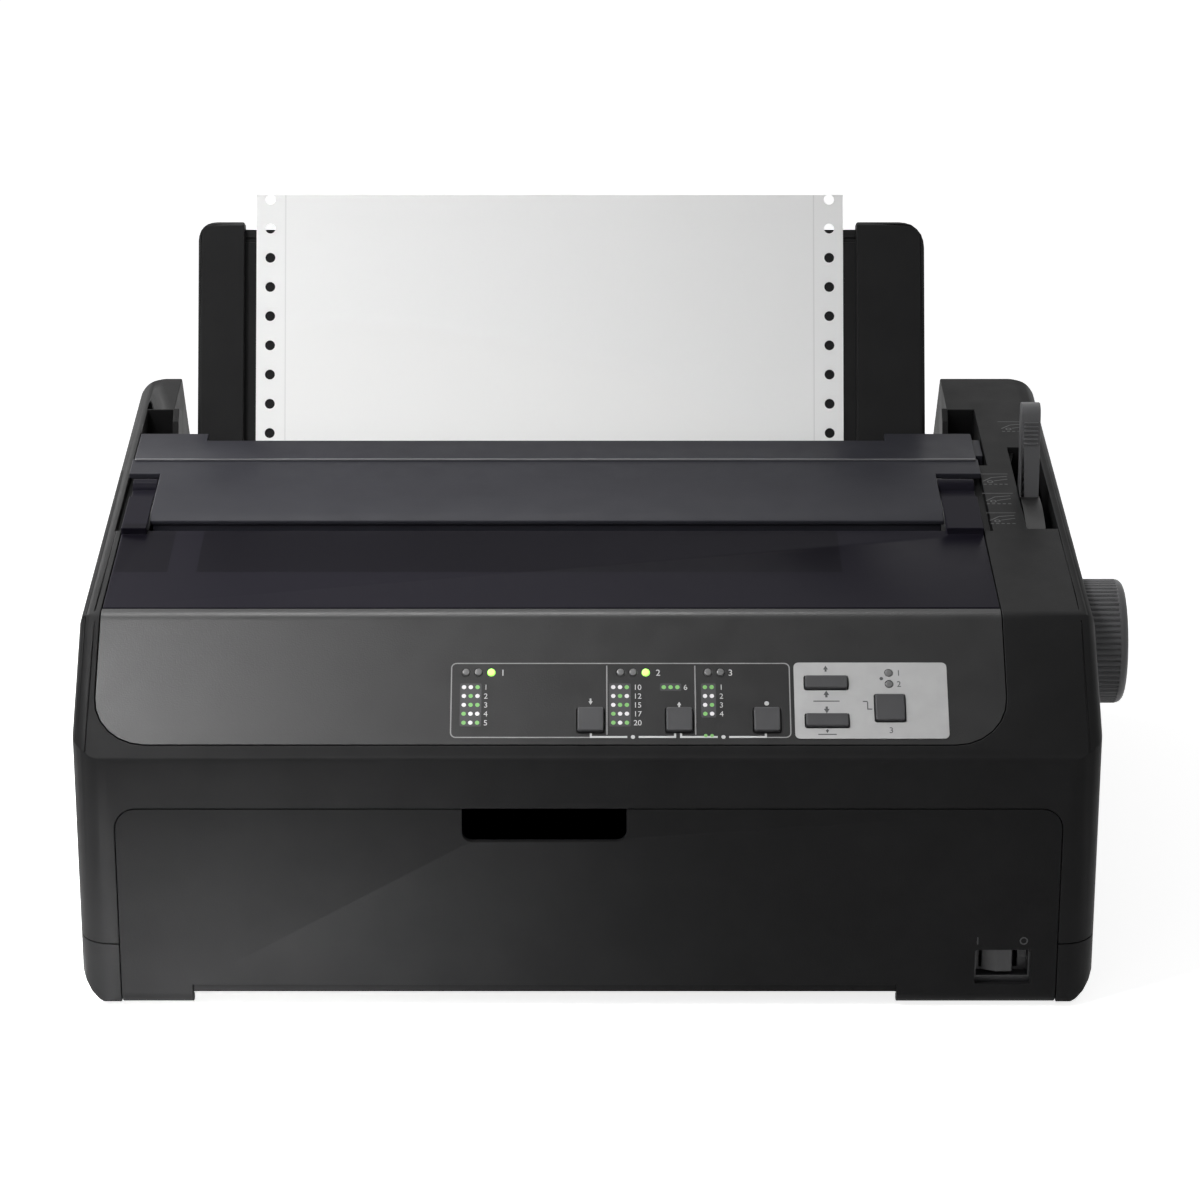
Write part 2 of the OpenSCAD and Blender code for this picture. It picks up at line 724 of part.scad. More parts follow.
// ---- covers ----
door_lip_t = 1.2;
module grip_plan(m) { round_rect(grip_x0 - m, grip_x1 + m, door_z1 - grip_h - m, door_z1 + 20, 4 + m); }
module door_edge(x0, x1) {
  intersection() {
    rod(x0, x1, door_hinge_y, door_hinge_z, door_hinge_y, door_hinge_y - wall);
    block(x0 - 1, x1 + 1, -1, door_hinge_y + 1, -1, door_hinge_z + 0.5);
  }
}
module front_cover() {
  color("#29292b") place() {
    difference() {
      union() {
        difference() {
          along_y(0, wall) door_plan(0);
          block(-far, far, -1, wall + 1, -far, door_hinge_z);
          block(belly_x0, belly_x1, -1, wall - door_lip_t, 0, door_z0);
          block(belly_x0, belly_x1, -1, wall + 1, 0, belly_z);
        }
        block(belly_x0, belly_x1, wall - door_lip_t, wall, belly_z, door_z0);
        door_edge(door_x0, belly_x0);
        door_edge(belly_x1, door_x1);
        intersection() {
          along_y(0, grip_d + wall) grip_plan(1.6);
          block(-far, far, 0, grip_d + 1.6, 0, door_z1 - 0.5);
        }
      }
      difference() {
        along_y(-1, grip_d) grip_plan(0);
        // the lip that the fingers pull, with its ends turned up
        difference() {
          block(grip_x0 - 1, grip_x1 + 1, 4.5, 6.5, 0, door_z1);
          along_y(0, grip_d) round_rect(grip_x0 + 3, grip_x1 - 3, door_z1 - 10, far / 2, 5);
        }
      }
      along_y(-1, wall + 1) round_rect(switch_x0, switch_x1, switch_z0, switch_z1, 1);
    }
    rod(door_x0, door_x0 + 3, door_hinge_y, door_hinge_z, door_hinge_y);
    rod(door_x1 - 3, door_x1, door_hinge_y, door_hinge_z, door_hinge_y);
    rod(door_x0 - door_pin_l, door_x0 + 1, door_hinge_y, door_hinge_z, door_pin_r);
    rod(door_x1 - 1, door_x1 + door_pin_l, door_hinge_y, door_hinge_z, door_pin_r);
  }
}

cover_lip = 5;
ear_y1 = ear_y0 + 31.6;
// Left and right edge of each hinge ear
ear_x = [[cover_x0, cover_x0 + left_ear_w], [cover_x1 - right_ear_w, cover_x1]];
module window_cover() {
  color("#2a2830") place()
    difference() {
      union() {
        top_slab(cover_x0, cover_x1, window_y0, window_y1, 0, cover_t);
        for (x = ear_x) {
          top_slab(x[0], x[1], ear_y0, ear_y1, -hood_rise, cover_t - 0.5);
          top_slab(x[0], x[1], ear_y1 - 1, knuckle_y, 0, cover_t);
          rod(x[0], x[1], knuckle_y, knuckle_z, knuckle_r);
        }
        // stiffening ribs under the window, clear of the ledges
        for (x = [cover_x0 + ledge_w + 1, cover_x1 - ledge_w - 3])
          top_slab(x, x + 2, window_y0 + ledge_w + 1, window_y1 - 1, 1, cover_lip);
        top_slab(cover_x0 + ledge_w + 1, cover_x1 - ledge_w - 1, window_y1 - 2, window_y1, 1,
          cover_lip);
      }
      rod(ear_x[0][1] - 7, ear_x[0][1] + 1, knuckle_y, knuckle_z, hinge_pin_r + shaft_clear);
      rod(ear_x[1][0] - 1, ear_x[1][0] + 7, knuckle_y, knuckle_z, hinge_pin_r + shaft_clear);
    }
}

hood_side_y = knuckle_y + knuckle_r + 1;
hood_front_y = hood_y0 + 6;
// The part of the rear cover between the ears
notch_x = [ear_x[0][1] + gap, ear_x[1][0] - gap];
module hood_skin(x0, x1, y0, y1) {
  intersection() {
    along_x(x0, x1)
      polygon([
        [hood_y0, top_z(hood_y0) - 0.6],
        [hood_y0 + 1, top_z(hood_y0) - 0.6],
        [hood_front_y + 1, top_z(hood_front_y) + hood_rise - cover_t],
        [hood_ridge_y, top_z(hood_ridge_y) + hood_rise - cover_t],
        [hood_ridge_y + 3, top_z(hood_ridge_y) + 1.2 - cover_t],
        [hood_y1 + hood_ear, top_z(hood_y1 + hood_ear) - cover_t + 0.6],
        [hood_y1 + hood_ear, top_z(hood_y1 + hood_ear) + 0.4],
        [hood_ridge_y + 2.5, top_z(hood_ridge_y) + 1.2],
        each rounded([hood_ridge_y, top_z(hood_ridge_y) + hood_rise], 130, 180 + top_tilt, 1.6),
        [hood_front_y, top_z(hood_front_y) + hood_rise],
        [hood_y0, top_z(hood_y0) + 1]
      ]);
    block(x0 - 1, x1 + 1, y0, y1, 0, far);
  }
}
hood_ear_x = [[hood_x0, hood_x0 + 29], [hood_x1 - 37, hood_x1]];
hood_arm_x = [[hood_x0 + 0.3, shoulder_x0 - 1], [shoulder_x1 + 2, shoulder_x1 + pocket_w - 0.4]];
module hood_arm(x0, x1) {
  hull_y = hood_hinge_y - 14;
  along_x(x0, x1)
    polygon([
      [hull_y, top_z(hull_y) - 1],
      [hull_y, top_z(hull_y) - 5],
      [hood_hinge_y - 5, hood_hinge_z - 3],
      [hood_hinge_y, hood_hinge_z],
      [hood_hinge_y + 5, hood_hinge_z + 1],
      [hood_y1 + hood_ear - 2, top_z(hood_y1) - 1]
    ]);
  rod(x0, x1, hood_hinge_y, hood_hinge_z, 5);
}
module rear_cover() {
  color("#35353c") place() {
    hood_skin(notch_x[0], notch_x[1], hood_y0, hood_side_y + 1);
    hood_skin(hood_x0, hood_x1, hood_side_y, hood_y1);
    for (x = hood_ear_x) hood_skin(x[0], x[1], hood_y1 - 1, hood_y1 + hood_ear);
    for (x = hood_arm_x) hood_arm(x[0], x[1]);
    rod(hood_x0 - 3.4, hood_x0 + 1, hood_hinge_y, hood_hinge_z, hinge_pin_r);
    rod(hood_arm_x[1][1] - 1, shoulder_x1 + pocket_w + 4, hood_hinge_y, hood_hinge_z, hinge_pin_r);
    // the lip under the window's rear edge
    top_slab(notch_x[0] + 1, notch_x[1] - 1, window_y1 - 8, hood_y0 + 2, cover_lip + 1.2, cover_lip + 2.7);
    top_slab(notch_x[0] + 1, notch_x[1] - 1, hood_y0 + 0.5, hood_y0 + 2.1, 0, cover_lip + 1.7);
    // lugs with the pins that the window cover turns on
    for (x = [notch_x[0], notch_x[1] - 4])
      along_x(x, x + 4)
        polygon([
          [knuckle_y - 6, top_z(knuckle_y) + hood_rise - 1],
          [knuckle_y - 3, knuckle_z - 3],
          [knuckle_y + 3, knuckle_z - 3],
          [knuckle_y + 6, top_z(knuckle_y) + hood_rise - 1]
        ]);
    rod(ear_x[0][1] - 6, ear_x[0][1] + 2, knuckle_y, knuckle_z, hinge_pin_r);
    rod(ear_x[1][0] - 2, ear_x[1][0] + 6, knuckle_y, knuckle_z, hinge_pin_r);
  }
}

// ---- control panel ----
// Each button: left, right, lower and upper edge in the panel's slope
button_s0 = slope_s(9.1);
long_s = [slope_s(10.6), slope_s(22.5)];
pause_s = slope_s(12.4);
BUTTONS = [
  [-3.8, -3.8 + button_a, button_s0, button_s0 + button_a],
  [30.1, 30.1 + button_a, button_s0, button_s0 + button_a],
  [63.6, 63.6 + button_a, button_s0, button_s0 + button_a],
  [83.4, 83.4 + long_button_w, long_s[1], long_s[1] + long_button_h],
  [83.4, 83.4 + long_button_w, long_s[0], long_s[0] + long_button_h],
  [110.1, 110.1 + pause_a, pause_s, pause_s + pause_a]
];
lamp_s = slope_s(27.9);
LAMPS = [
  [-46.6, lamp_s], [-41.8, lamp_s], [-36.9, lamp_s], [12.7, lamp_s], [17.5, lamp_s], [22.4, lamp_s],
  [46.3, lamp_s], [51.1, lamp_s], [115.7, slope_s(27.6)], [115.7, slope_s(24.1)]
];
lamp_out = 0.5;
panel_post_r = 2.5;
panel_board_x = [-58, 146];
panel_board_y = [16, 50];
module button_plan(b, m, r = 0.8) { round_rect(b[0] - m, b[1] + m, b[2] - m, b[3] + m, r); }
module control_panel() {
  color("#303032") place()
    difference() {
      union() {
        intersection() {
          panel_prism(0);
          skin(0, panel_t);
        }
        for (x = panel_board_x + [5, -5], s = panel_board_y + [4, -4])
          in_slope(panel_t - 0.5, panel_board_s) translate([x, s]) circle(r = panel_post_r);
      }
      for (b = BUTTONS) in_slope(-5, panel_t + 1) button_plan(b, gap);
      for (p = LAMPS) in_slope(-5, panel_t + 1) translate(p) circle(r = lamp_r + 0.1);
    }
}
module panel_label() {
  color("#9c9c9c") place()
    in_slope(-label_t, 0)
      difference() {
        round_rect(label_x0, label_x1, slope_s(7), slope_s(30.9), 2);
        for (i = [3:5]) button_plan(BUTTONS[i], gap + 0.2, 1);
        for (i = [8:9]) translate(LAMPS[i]) circle(r = lamp_r + 0.2);
      }
}
flange = 0.9;
module button(i) {
  color("#4a4a4c") place() {
    in_slope(-button_rise, panel_t + 1) button_plan(BUTTONS[i], 0);
    in_slope(panel_t + gap, panel_t + gap + 1) button_plan(BUTTONS[i], flange);
  }
}
module panel_lamps() {
  color("#8fd14f") place()
    for (p = LAMPS) {
      in_slope(-lamp_out, panel_t + 1.5) translate(p) circle(r = lamp_r);
      in_slope(panel_t + 0.3, panel_board_s) translate(p) circle(r = lamp_r + 0.5);
    }
}
module panel_board() {
  color("#1f5c36") place() {
    in_slope(panel_board_s, panel_board_s + board_t)
      round_rect(panel_board_x[0], panel_board_x[1], panel_board_y[0] - 4, panel_board_y[1], 1);
    for (b = BUTTONS) {
      c = [(b[0] + b[1]) / 2, (b[2] + b[3]) / 2];
      in_slope(panel_board_s - 3, panel_board_s + 0.5) translate(c) square(5, center = true);
      in_slope(panel_t + gap + 1 + button_travel + gap, panel_board_s) translate(c) circle(r = 1.6);
    }
  }
}

// ---- power switch ----
rocker_x = (switch_x0 + switch_x1) / 2 - 1;
rocker_y = 10;
rocker_z0 = switch_z0 + 3.7;
rocker_z1 = switch_z1 - 0.6;
rocker_tilt = -10;
rocker_half = 6;
housing_z0 = switch_z0 - 0.9;
module power_switch_housing() {
  color("#161617") place()
    difference() {
      block(switch_x0 - 1.5, switch_x1 + 1.5, switch_y, switch_y + switch_d, housing_z0, switch_z1 + 1.9);
      block(switch_x0 + 0.8, switch_x1 - 0.8, 0, rocker_y - 1, switch_z0 + 2.3, switch_z1 + 0.3);
      block(rocker_x - 7.4, rocker_x + 7.4, 0, rocker_y + 9, rocker_z0 - gap, rocker_z1 + gap);
      translate([rocker_x, rocker_y, rocker_z0 - 1.6])
        cylinder(h = rocker_z1 - rocker_z0 + 2.9, r = 1.2 + shaft_clear);
    }
}
module power_rocker() {
  color("#222224") place()
    translate([rocker_x, rocker_y, 0]) rotate([0, 0, rocker_tilt]) {
      translate([0, 0, rocker_z0]) linear_extrude(rocker_z1 - rocker_z0)
        polygon([
          [-rocker_half, -5.6], [0, -7], [rocker_half, -5.6],
          [rocker_half, -1], [2.6, 4], [-2.6, 4], [-rocker_half, -1]
        ]);
      translate([0, 0, rocker_z0 - 1.4]) cylinder(h = rocker_z1 - rocker_z0 + 2.4, r = 1.2);
    }
}

// ---- paper guide and paper ----
guide_plate_n = -0.5;
guide_plate_w1 = guide_up - 3;
plate_groove_w = guide_plate_w1 - 5.6;
guide_front_n = 3;
bar_wall = 4;
bar_foot_w = -5;
guide_chamfer = 1.5;
cheek_t = 2.5;
module guide_frame() { translate([0, foot_y, foot_z]) rotate([90 - guide_lean, 0, 0]) children(); }
module in_guide(n0, n1) {
  guide_frame() translate([0, 0, n0]) linear_extrude(n1 - n0) children();
}
plate_x0 = guide_x0 + bar_wall + 4.5;
plate_x1 = guide_x1 - bar_wall - 4.5;
pin_end = 1.8;
module sheet_guide() {
  color("#232325") place() {
    difference() {
      in_guide(guide_plate_n - guide_plate_t, guide_plate_n)
        round_rect(plate_x0, plate_x1, pivot_w, guide_plate_w1, 6);
      in_guide(guide_plate_n - 0.8, guide_plate_n + 1)
        translate([plate_x0 - 1, plate_groove_w]) square([plate_x1 - plate_x0 + 2, 2]);
    }
    rod(shoulder_x0 - pin_end, shoulder_x1 + pin_end, guide_pivot[0], guide_pivot[1], guide_pivot_r);
    for (x = [shoulder_x0 + 0.7, shoulder_x1 - 0.7 - cheek_t])
      along_x(x, x + cheek_t)
        polygon([
          guide_at(pivot_w - 4, 3), guide_at(pivot_w - 5, -8),
          guide_at(8, -11), guide_at(14, -9), guide_at(14, 1), guide_at(8, 4)
        ]);
    // ribs that stiffen the back of the plate
    for (i = [0:4])
      in_guide(guide_plate_n - guide_plate_t - 3, guide_plate_n - guide_plate_t + 0.5)
        translate([plate_x0 + 40 + i * (plate_x1 - plate_x0 - 80) / 4 - 1, pivot_w])
          square([2, guide_plate_w1 - pivot_w - 6]);
  }
}
module edge_guide(x0, x1, inner, r) {
  wall_x = inner > 0 ? x0 + bar_wall : x1 - bar_wall;
  chamfer_a = guide_chamfer * sqrt(2);
  difference() {
    in_guide(guide_front_n - guide_bar_t, guide_front_n)
      polygon([
        [x0, bar_foot_w], [x1, bar_foot_w],
        each rounded([x1, guide_up], 90, 180, inner > 0 ? 1 : r),
        each rounded([x0, guide_up], 180, 270, inner > 0 ? r : 1)
      ]);
    in_guide(guide_plate_n - guide_plate_t - gap, guide_plate_n + gap)
      translate([inner > 0 ? wall_x : x0 - 1, -far])
        square([x1 - x0 - bar_wall + 1, far + guide_plate_w1 + 2 * gap]);
    guide_frame() {
      translate([inner > 0 ? x0 : x1, 0, guide_front_n]) rotate([0, 45, 0])
        cube([chamfer_a, far, chamfer_a], center = true);
      translate([0, guide_up, guide_front_n]) rotate([45, 0, 0])
        cube([far, chamfer_a, chamfer_a], center = true);
    }
  }
}
module left_edge_guide() { color("#2c2c2e") place() edge_guide(guide_x0, guide_x0 + left_guide_w, 1, 8); }
module right_edge_guide() { color("#2c2c2e") place() edge_guide(guide_x1 - right_guide_w, guide_x1, -1, 11); }

knob_gear_n = 18;
platen_gear_n = 36;
pinion_n = 12;
idler_n = 32;
tractor_gear_n = 24;
function gear_r(n) = gear_module * n / 2;
knob_c = [knob_y, knob_z];
platen_c = knob_c + (gear_r(knob_gear_n) + gear_r(platen_gear_n)) * heading(-feed_angle);
wrap_r = platen_r + gap + paper_t / 2;
bend_w = 16;
bend_c0 = guide_at(-bend_w, 0);
to_bend = bend_c0 - platen_c;
wrap_a = atan2(to_bend[1], to_bend[0]) + acos(wrap_r / norm(to_bend));
rise_a = wrap_a - 90;
guide_a = 90 - guide_lean;
bend_turn = guide_a - rise_a;
bend_tan = bend_r * tan(bend_turn / 2);
bend_m = bend_c0 - bend_tan * heading(rise_a) + bend_r * left_of(rise_a);
// Lengths along the paper from its upper edge: to the bend, round it, to the platen and round that
paper_s1 = paper_up + bend_w - bend_tan;
paper_s2 = paper_s1 + bend_r * bend_turn * PI / 180;
paper_s3 = paper_s2 + sqrt(pow(norm(to_bend), 2) - pow(wrap_r, 2)) - bend_tan;
paper_s4 = paper_s3 + wrap_r * (270 - wrap_a) * PI / 180;
tail_l = form_l - paper_s4;
function arc_points(c, r, a0, a1, n) = [for (i = [0:n]) c + r * heading(a0 + (a1 - a0) * i / n)];
// The face of the paper that lies o outside its middle, from its lower to its upper edge
function paper_face(o) = [
  platen_c + [tail_l, -wrap_r - o],
  each arc_points(platen_c, wrap_r + o, 270, wrap_a, 20),
  each arc_points(bend_m, bend_r - o, rise_a - 90, guide_a - 90, 10),
  guide_at(paper_up, 0) + o * left_of(guide_a)
];
function reversed(v) = [for (i = [len(v) - 1:-1:0]) v[i]];
// Place and angle of the paper at a length s from its upper edge
function paper_at(s) =
  s < paper_s1 ? [guide_at(paper_up - s, 0), guide_a] :
  s < paper_s2 ? let (a = guide_a - (s - paper_s1) / bend_r * 180 / PI)
    [bend_m + bend_r * heading(a - 90), a] :
  s < paper_s3 ? [platen_c + wrap_r * heading(wrap_a) + (paper_s3 - s) * heading(rise_a), rise_a] :
  s < paper_s4 ? let (a = wrap_a + (s - paper_s3) / wrap_r * 180 / PI)
    [platen_c + wrap_r * heading(a), a - 90] :
  [platen_c + [s - paper_s4, -wrap_r], 180];
first_hole = 2;
module paper() {
  color("#f4f4f2") place()
    difference() {
      along_x(paper_x0, paper_x0 + paper_w)
        polygon(concat(paper_face(paper_t / 2), reversed(paper_face(-paper_t / 2))));
      for (s = [first_hole:hole_pitch:form_l - hole_r]) {
        p = paper_at(s);
        for (x = [paper_x0 + hole_margin, paper_x0 + paper_w - hole_margin])
          translate([x, p[0][0], p[0][1]]) rotate([p[1], 0, 0])
            cylinder(h = 3, r = hole_r, center = true, $fn = 32);
      }
    }
}

// ---- levers and knob ----
lever_top = (top_z(lever_pivot_y + 15) + lever_rise - lever_pivot_z) / cos(lever_lean);
shield_a0 = 92 - lever_lean;
shield_a1 = 124;
module lever_arc(x0, x1, r0) {
  along_x(x0, x1)
    translate([lever_pivot_y, lever_pivot_z])
      polygon(concat(
        arc_points([0, 0], r0, shield_a0, shield_a1, 8),
        arc_points([0, 0], shield_r, shield_a1, shield_a0, 24)
      ));
}
module release_lever() {
  color("#5c5d60") place()
    difference() {
      union() {
        rod(lever_x - lever_w / 2, lever_x + lever_w / 2, lever_pivot_y, lever_pivot_z, 7);
        translate([0, lever_pivot_y, lever_pivot_z]) rotate([-lever_lean, 0, 0]) {
          along_x(lever_x - lever_w / 2, lever_x + lever_w / 2)
            polygon([
              [-4.5, 0], [4.5, 0],
              each rounded([4.5, lever_top], 90, 180, 3),
              each rounded([-4.5, lever_top], 180, 270, 4)
            ]);
          // the grip's ridges
          for (i = [0:5])
            along_x(lever_x - lever_w / 2 + 1, lever_x + lever_w / 2 - 1)
              translate([-4.6, lever_top - 7.5 - 1.75 * i])
                polygon([[1.5, -0.6], [-0.5, -0.3], [-0.5, 0.3], [1.5, 0.6]]);
        }
        // the shield in front of the lever that closes the slot, and the web it stands on
        lever_arc(lever_x - lever_w / 2 + 0.2, slot_x + slot_w / 2 - 4, shield_r - 2);
        lever_arc(lever_x - lever_w / 2 + 0.5, lever_x, 6);
      }
      rod(0, half_w, lever_pivot_y, lever_pivot_z, lever_pin_r + shaft_clear);
    }
}

knob_shaft_r = 4;
knob_x0 = half_w + gap;
knob_x1 = half_w + knob_out;
rib_h = 0.6;
module knob_rib_outline() {
  polygon([
    for (i = [0:knob_ribs - 1], k = [[0, rib_h], [0.3, 0], [0.6, 0], [0.9, rib_h]])
      (knob_r - 0.1 - k[1]) * heading(360 * (i + k[0]) / knob_ribs)
  ]);
}
module feed_knob() {
  color("#5a5b5d") place()
    translate([0, knob_y, knob_z])
      difference() {
        union() {
          along_x(knob_x0, knob_x1 - 3) knob_rib_outline();
          translate([knob_x1 - 3.5, 0, 0]) rotate([0, 90, 0])
            rotate_extrude()
              polygon([
                [0, 0], [knob_r - 0.2, 0], each rounded([knob_r - 0.2, 3.5], 90, 180, 3), [0, 3.5]
              ]);
        }
        rod(knob_x0 - 1, knob_x1 - 5, 0, 0, knob_shaft_r + 0.02);
        rod(knob_x0 - 1, knob_x0 + 11, 0, 0, knob_r - 4);
      }
  color("#5a5b5d") place()
    rod(knob_x0 + 1, knob_x1 - 4, knob_y, knob_z, 9, knob_shaft_r + 0.02);
}

// ---- gears ----
gear_x0 = frame_x0 - 0.5 - gear_w;
gear_x1 = frame_x1 + 1.5;
addendum = 0.8 * gear_module;
dedendum = 1.1 * gear_module;
tooth_share = 0.42;
flank_a = 20;
module gear(n, x0, w, phase, bore) {
  r = gear_r(n);
  half_t = tooth_share * PI * gear_module / 2;
  tip_r = r + addendum;
  root_r = r - dedendum;
  tip_a = (half_t - addendum * tan(flank_a)) / tip_r * 180 / PI;
  root_a = (half_t + dedendum * tan(flank_a)) / root_r * 180 / PI;
  difference() {
    along_x(x0, x0 + w)
      polygon([
        for (i = [0:n - 1], k = [[root_r, -root_a], [tip_r, -tip_a], [tip_r, tip_a], [root_r, root_a]])
          k[0] * heading(phase + 360 * i / n + k[1])
      ]);
    if (bore > 0) rod(x0 - 1, x0 + w + 1, 0, 0, bore);
  }
}
// Phase of a gear with n teeth that meshes, in direction a, with one of m teeth at phase p
function mesh_phase(n, m, p, a) = a + 180 - (0.5 - (a - p) * m / 360) * 360 / n;
function direction(p, q) = atan2(q[1] - p[1], q[0] - p[0]);
// Where circles of radius a round p and radius b round q meet, on the right of the line from p to q
function circles_meet(p, a, q, b) =
  let (d = norm(q - p), u = (a * a - b * b + d * d) / (2 * d), v = sqrt(a * a - u * u), t = direction(p, q))
  p + u * heading(t) - v * left_of(t);
tractor_c = [drive_y, drive_z];
idler_c =
  circles_meet(platen_c, gear_r(platen_gear_n + idler_n), tractor_c, gear_r(idler_n + tractor_gear_n));
pinion_a = -110;
pinion_c = platen_c + gear_r(platen_gear_n + pinion_n) * heading(pinion_a);
platen_phase = 0;
idler_phase = mesh_phase(idler_n, platen_gear_n, platen_phase, direction(platen_c, idler_c));
stud_r = 3;

module knob_shaft() {
  color("#c9c9c4") place() {
    rod(frame_x1 - frame_t - 3, knob_x1 - 5.2, knob_y, knob_z, knob_shaft_r);
    translate([0, knob_y, knob_z])
      gear(knob_gear_n, gear_x1, gear_w,
        mesh_phase(knob_gear_n, platen_gear_n, platen_phase, 180 - feed_angle), 0);
  }
}
platen_end = 12;
module platen_shaft() {
  color("#b9bcc0") place()
    rod(gear_x0 - 0.5, gear_x1 + gear_w + 0.5, platen_c[0], platen_c[1], platen_shaft_r);
}
module platen_roller() {
  color("#1c1c1c") place()
    rod(frame_x0 + platen_end, frame_x1 - platen_end, platen_c[0], platen_c[1], platen_r, platen_shaft_r);
}
module platen_gears() {
  color("#d8d8d2") place()
    translate([0, platen_c[0], platen_c[1]])
      for (x = [gear_x0, gear_x1]) gear(platen_gear_n, x, gear_w, platen_phase, platen_shaft_r);
}
module idler_gear() {
  color("#d8d8d2") place()
    translate([0, idler_c[0], idler_c[1]])
      gear(idler_n, gear_x0, gear_w, idler_phase, stud_r + shaft_clear);
}
motor_shaft_r = 2;
motor_r = 12;
feed_motor_l = 22;
module motor_pinion() {
  color("#c9a24a") place()
    translate([0, pinion_c[0], pinion_c[1]]) {
      gear(pinion_n, gear_x0, gear_w, mesh_phase(pinion_n, platen_gear_n, platen_phase, pinion_a), 0);
      rod(gear_x0 + 1, frame_x0 + frame_t + 5, 0, 0, motor_shaft_r);
    }
}
module feed_motor() {
  color("#8c8f94") place() {
    difference() {
      rod(frame_x0 + frame_t, frame_x0 + frame_t + feed_motor_l, pinion_c[0], pinion_c[1], motor_r);
      rod(frame_x0, frame_x0 + frame_t + 6, pinion_c[0], pinion_c[1], motor_shaft_r + shaft_clear);
    }
  }
}

// ---- frames ----
frame_y0 = 54;
frame_y1 = 202;
base_t = 1.5;
bush_r = 6.5;
peg_c = [68, 90];
peg_r = 2;
roller_c = platen_c - [0, platen_r + 2 * gap + paper_t + pinch_r];
roller_shaft_r = 2;
roller_drop = 2;
rail_c = [rail_y, rail_z];
guide_rail_y = rail_y - 30;
module frame_outline() {
  polygon([
    [frame_y0, base_top + base_t], [frame_y1, base_top + base_t], [frame_y1, 62], [186, 96], [150, 112],
    [112, 126], [86, 128], [72, 112], [frame_y0, 82]
  ]);
}
module frame_plate(x) {
  difference() {
    along_x(x, x + frame_t) frame_outline();
    rod(x - 1, x + frame_t + 1, rail_c[0], rail_c[1], rail_r + shaft_clear);
    rod(x - 1, x + frame_t + 1, platen_c[0], platen_c[1], bush_r + shaft_clear);
    for (d = [0, roller_drop + 0.3])
      rod(x - 1, x + frame_t + 1, roller_c[0], roller_c[1] - d, roller_shaft_r + shaft_clear);
    block(x - 1, x + frame_t + 1, roller_c[0] - roller_shaft_r - shaft_clear,
      roller_c[0] + roller_shaft_r + shaft_clear, roller_c[1] - roller_drop - 0.3, roller_c[1]);
    block(x - 1, x + frame_t + 1, peg_c[0] - peg_r - shaft_clear, peg_c[0] + peg_r + shaft_clear,
      peg_c[1] - peg_r, far);
    along_x(x - 1, x + frame_t + 1) round_rect(frame_y0 + 60, frame_y1 - 12, 27, 40, 4);
  }
}
flange_w = 9;
module left_frame() {
  color("#b7bbbf") place() {
    difference() {
      union() {
        frame_plate(frame_x0);
        rod(gear_x0 - 0.5, frame_x0 + 0.5, idler_c[0], idler_c[1], stud_r);
        block(frame_x0, frame_x0 + flange_w, 100, frame_y1, base_top + base_t, base_top + 2 * base_t);
      }
      rod(frame_x0 - 1, frame_x0 + frame_t + 1, pinion_c[0], pinion_c[1], motor_shaft_r + 0.5);
    }
  }
}
module right_frame() {
  color("#b7bbbf") place()
    difference() {
      union() {
        frame_plate(frame_x1 - frame_t);
        block(frame_x1 - flange_w, frame_x1, 100, frame_y1, base_top + base_t, base_top + 2 * base_t);
      }
      rod(frame_x1 - frame_t - 1, frame_x1 + 1, knob_y, knob_z, knob_shaft_r + shaft_clear);
    }
}
belt_y = rail_y - 18;
belt_z = 50;
belt_w = 6;
belt_t = 1.5;
belt_x0 = frame_x0 + 20;
belt_x1 = frame_x1 - 14;
pulley_h = belt_w + 2;
idler_stud_r = 3;
module base_plate() {
  color("#a9adb1") place() {
    difference() {
      block(frame_x0, frame_x1, frame_y0 - 4, frame_y1, base_top, base_top + base_t);
      for (x = [-110, -30, 50]) linear_extrude(far) round_rect(x, x + 60, 100, 180, 6);
    }
    translate([belt_x1, belt_y, 0]) {
      cylinder_up(base_top + 1, belt_z - gap, 6);
      cylinder_up(base_top + 1, belt_z + pulley_h + 1, idler_stud_r);
    }
  }
}
module platen_bushings() {
  color("#e4e1d6") place()
    for (x = [frame_x0, frame_x1 - frame_t]) {
      side = x < 0 ? 1 : -1;
      rod(x - 0.2, x + frame_t + 0.2, platen_c[0], platen_c[1], bush_r, platen_shaft_r + shaft_clear);
      rod(side > 0 ? x + frame_t : x - 2, side > 0 ? x + frame_t + 2 : x, platen_c[0], platen_c[1],
        bush_r + 2, platen_shaft_r + shaft_clear);
    }
}
module pressure_shaft() {
  color("#c4c7ca") place() rod(frame_x0, frame_x1, roller_c[0], roller_c[1], roller_shaft_r);
}
ROLLER_X = [-122, -52, 18, 78];
module pressure_rollers() {
  color("#27272a") place()
    for (x = ROLLER_X) rod(x, x + 24, roller_c[0], roller_c[1], pinch_r, roller_shaft_r + shaft_clear);
}
module carriage_rail() {
  color("#cfd2d5") place() rod(frame_x0, frame_x1, rail_c[0], rail_c[1], rail_r);
}
guide_rail_z = rail_z + 4;
rail_foot_w = 5;
module guide_rail() {
  color("#b7bbbf") place() {
    block(frame_x0 + frame_t, frame_x1 - frame_t, guide_rail_y, guide_rail_y + 1.5,
      guide_rail_z - 20, guide_rail_z);
    for (x = [frame_x0 + frame_t, frame_x1 - frame_t - rail_foot_w])
      block(x, x + rail_foot_w, guide_rail_y - 1, guide_rail_y + 0.5, base_top + base_t, guide_rail_z - 2);
  }
}

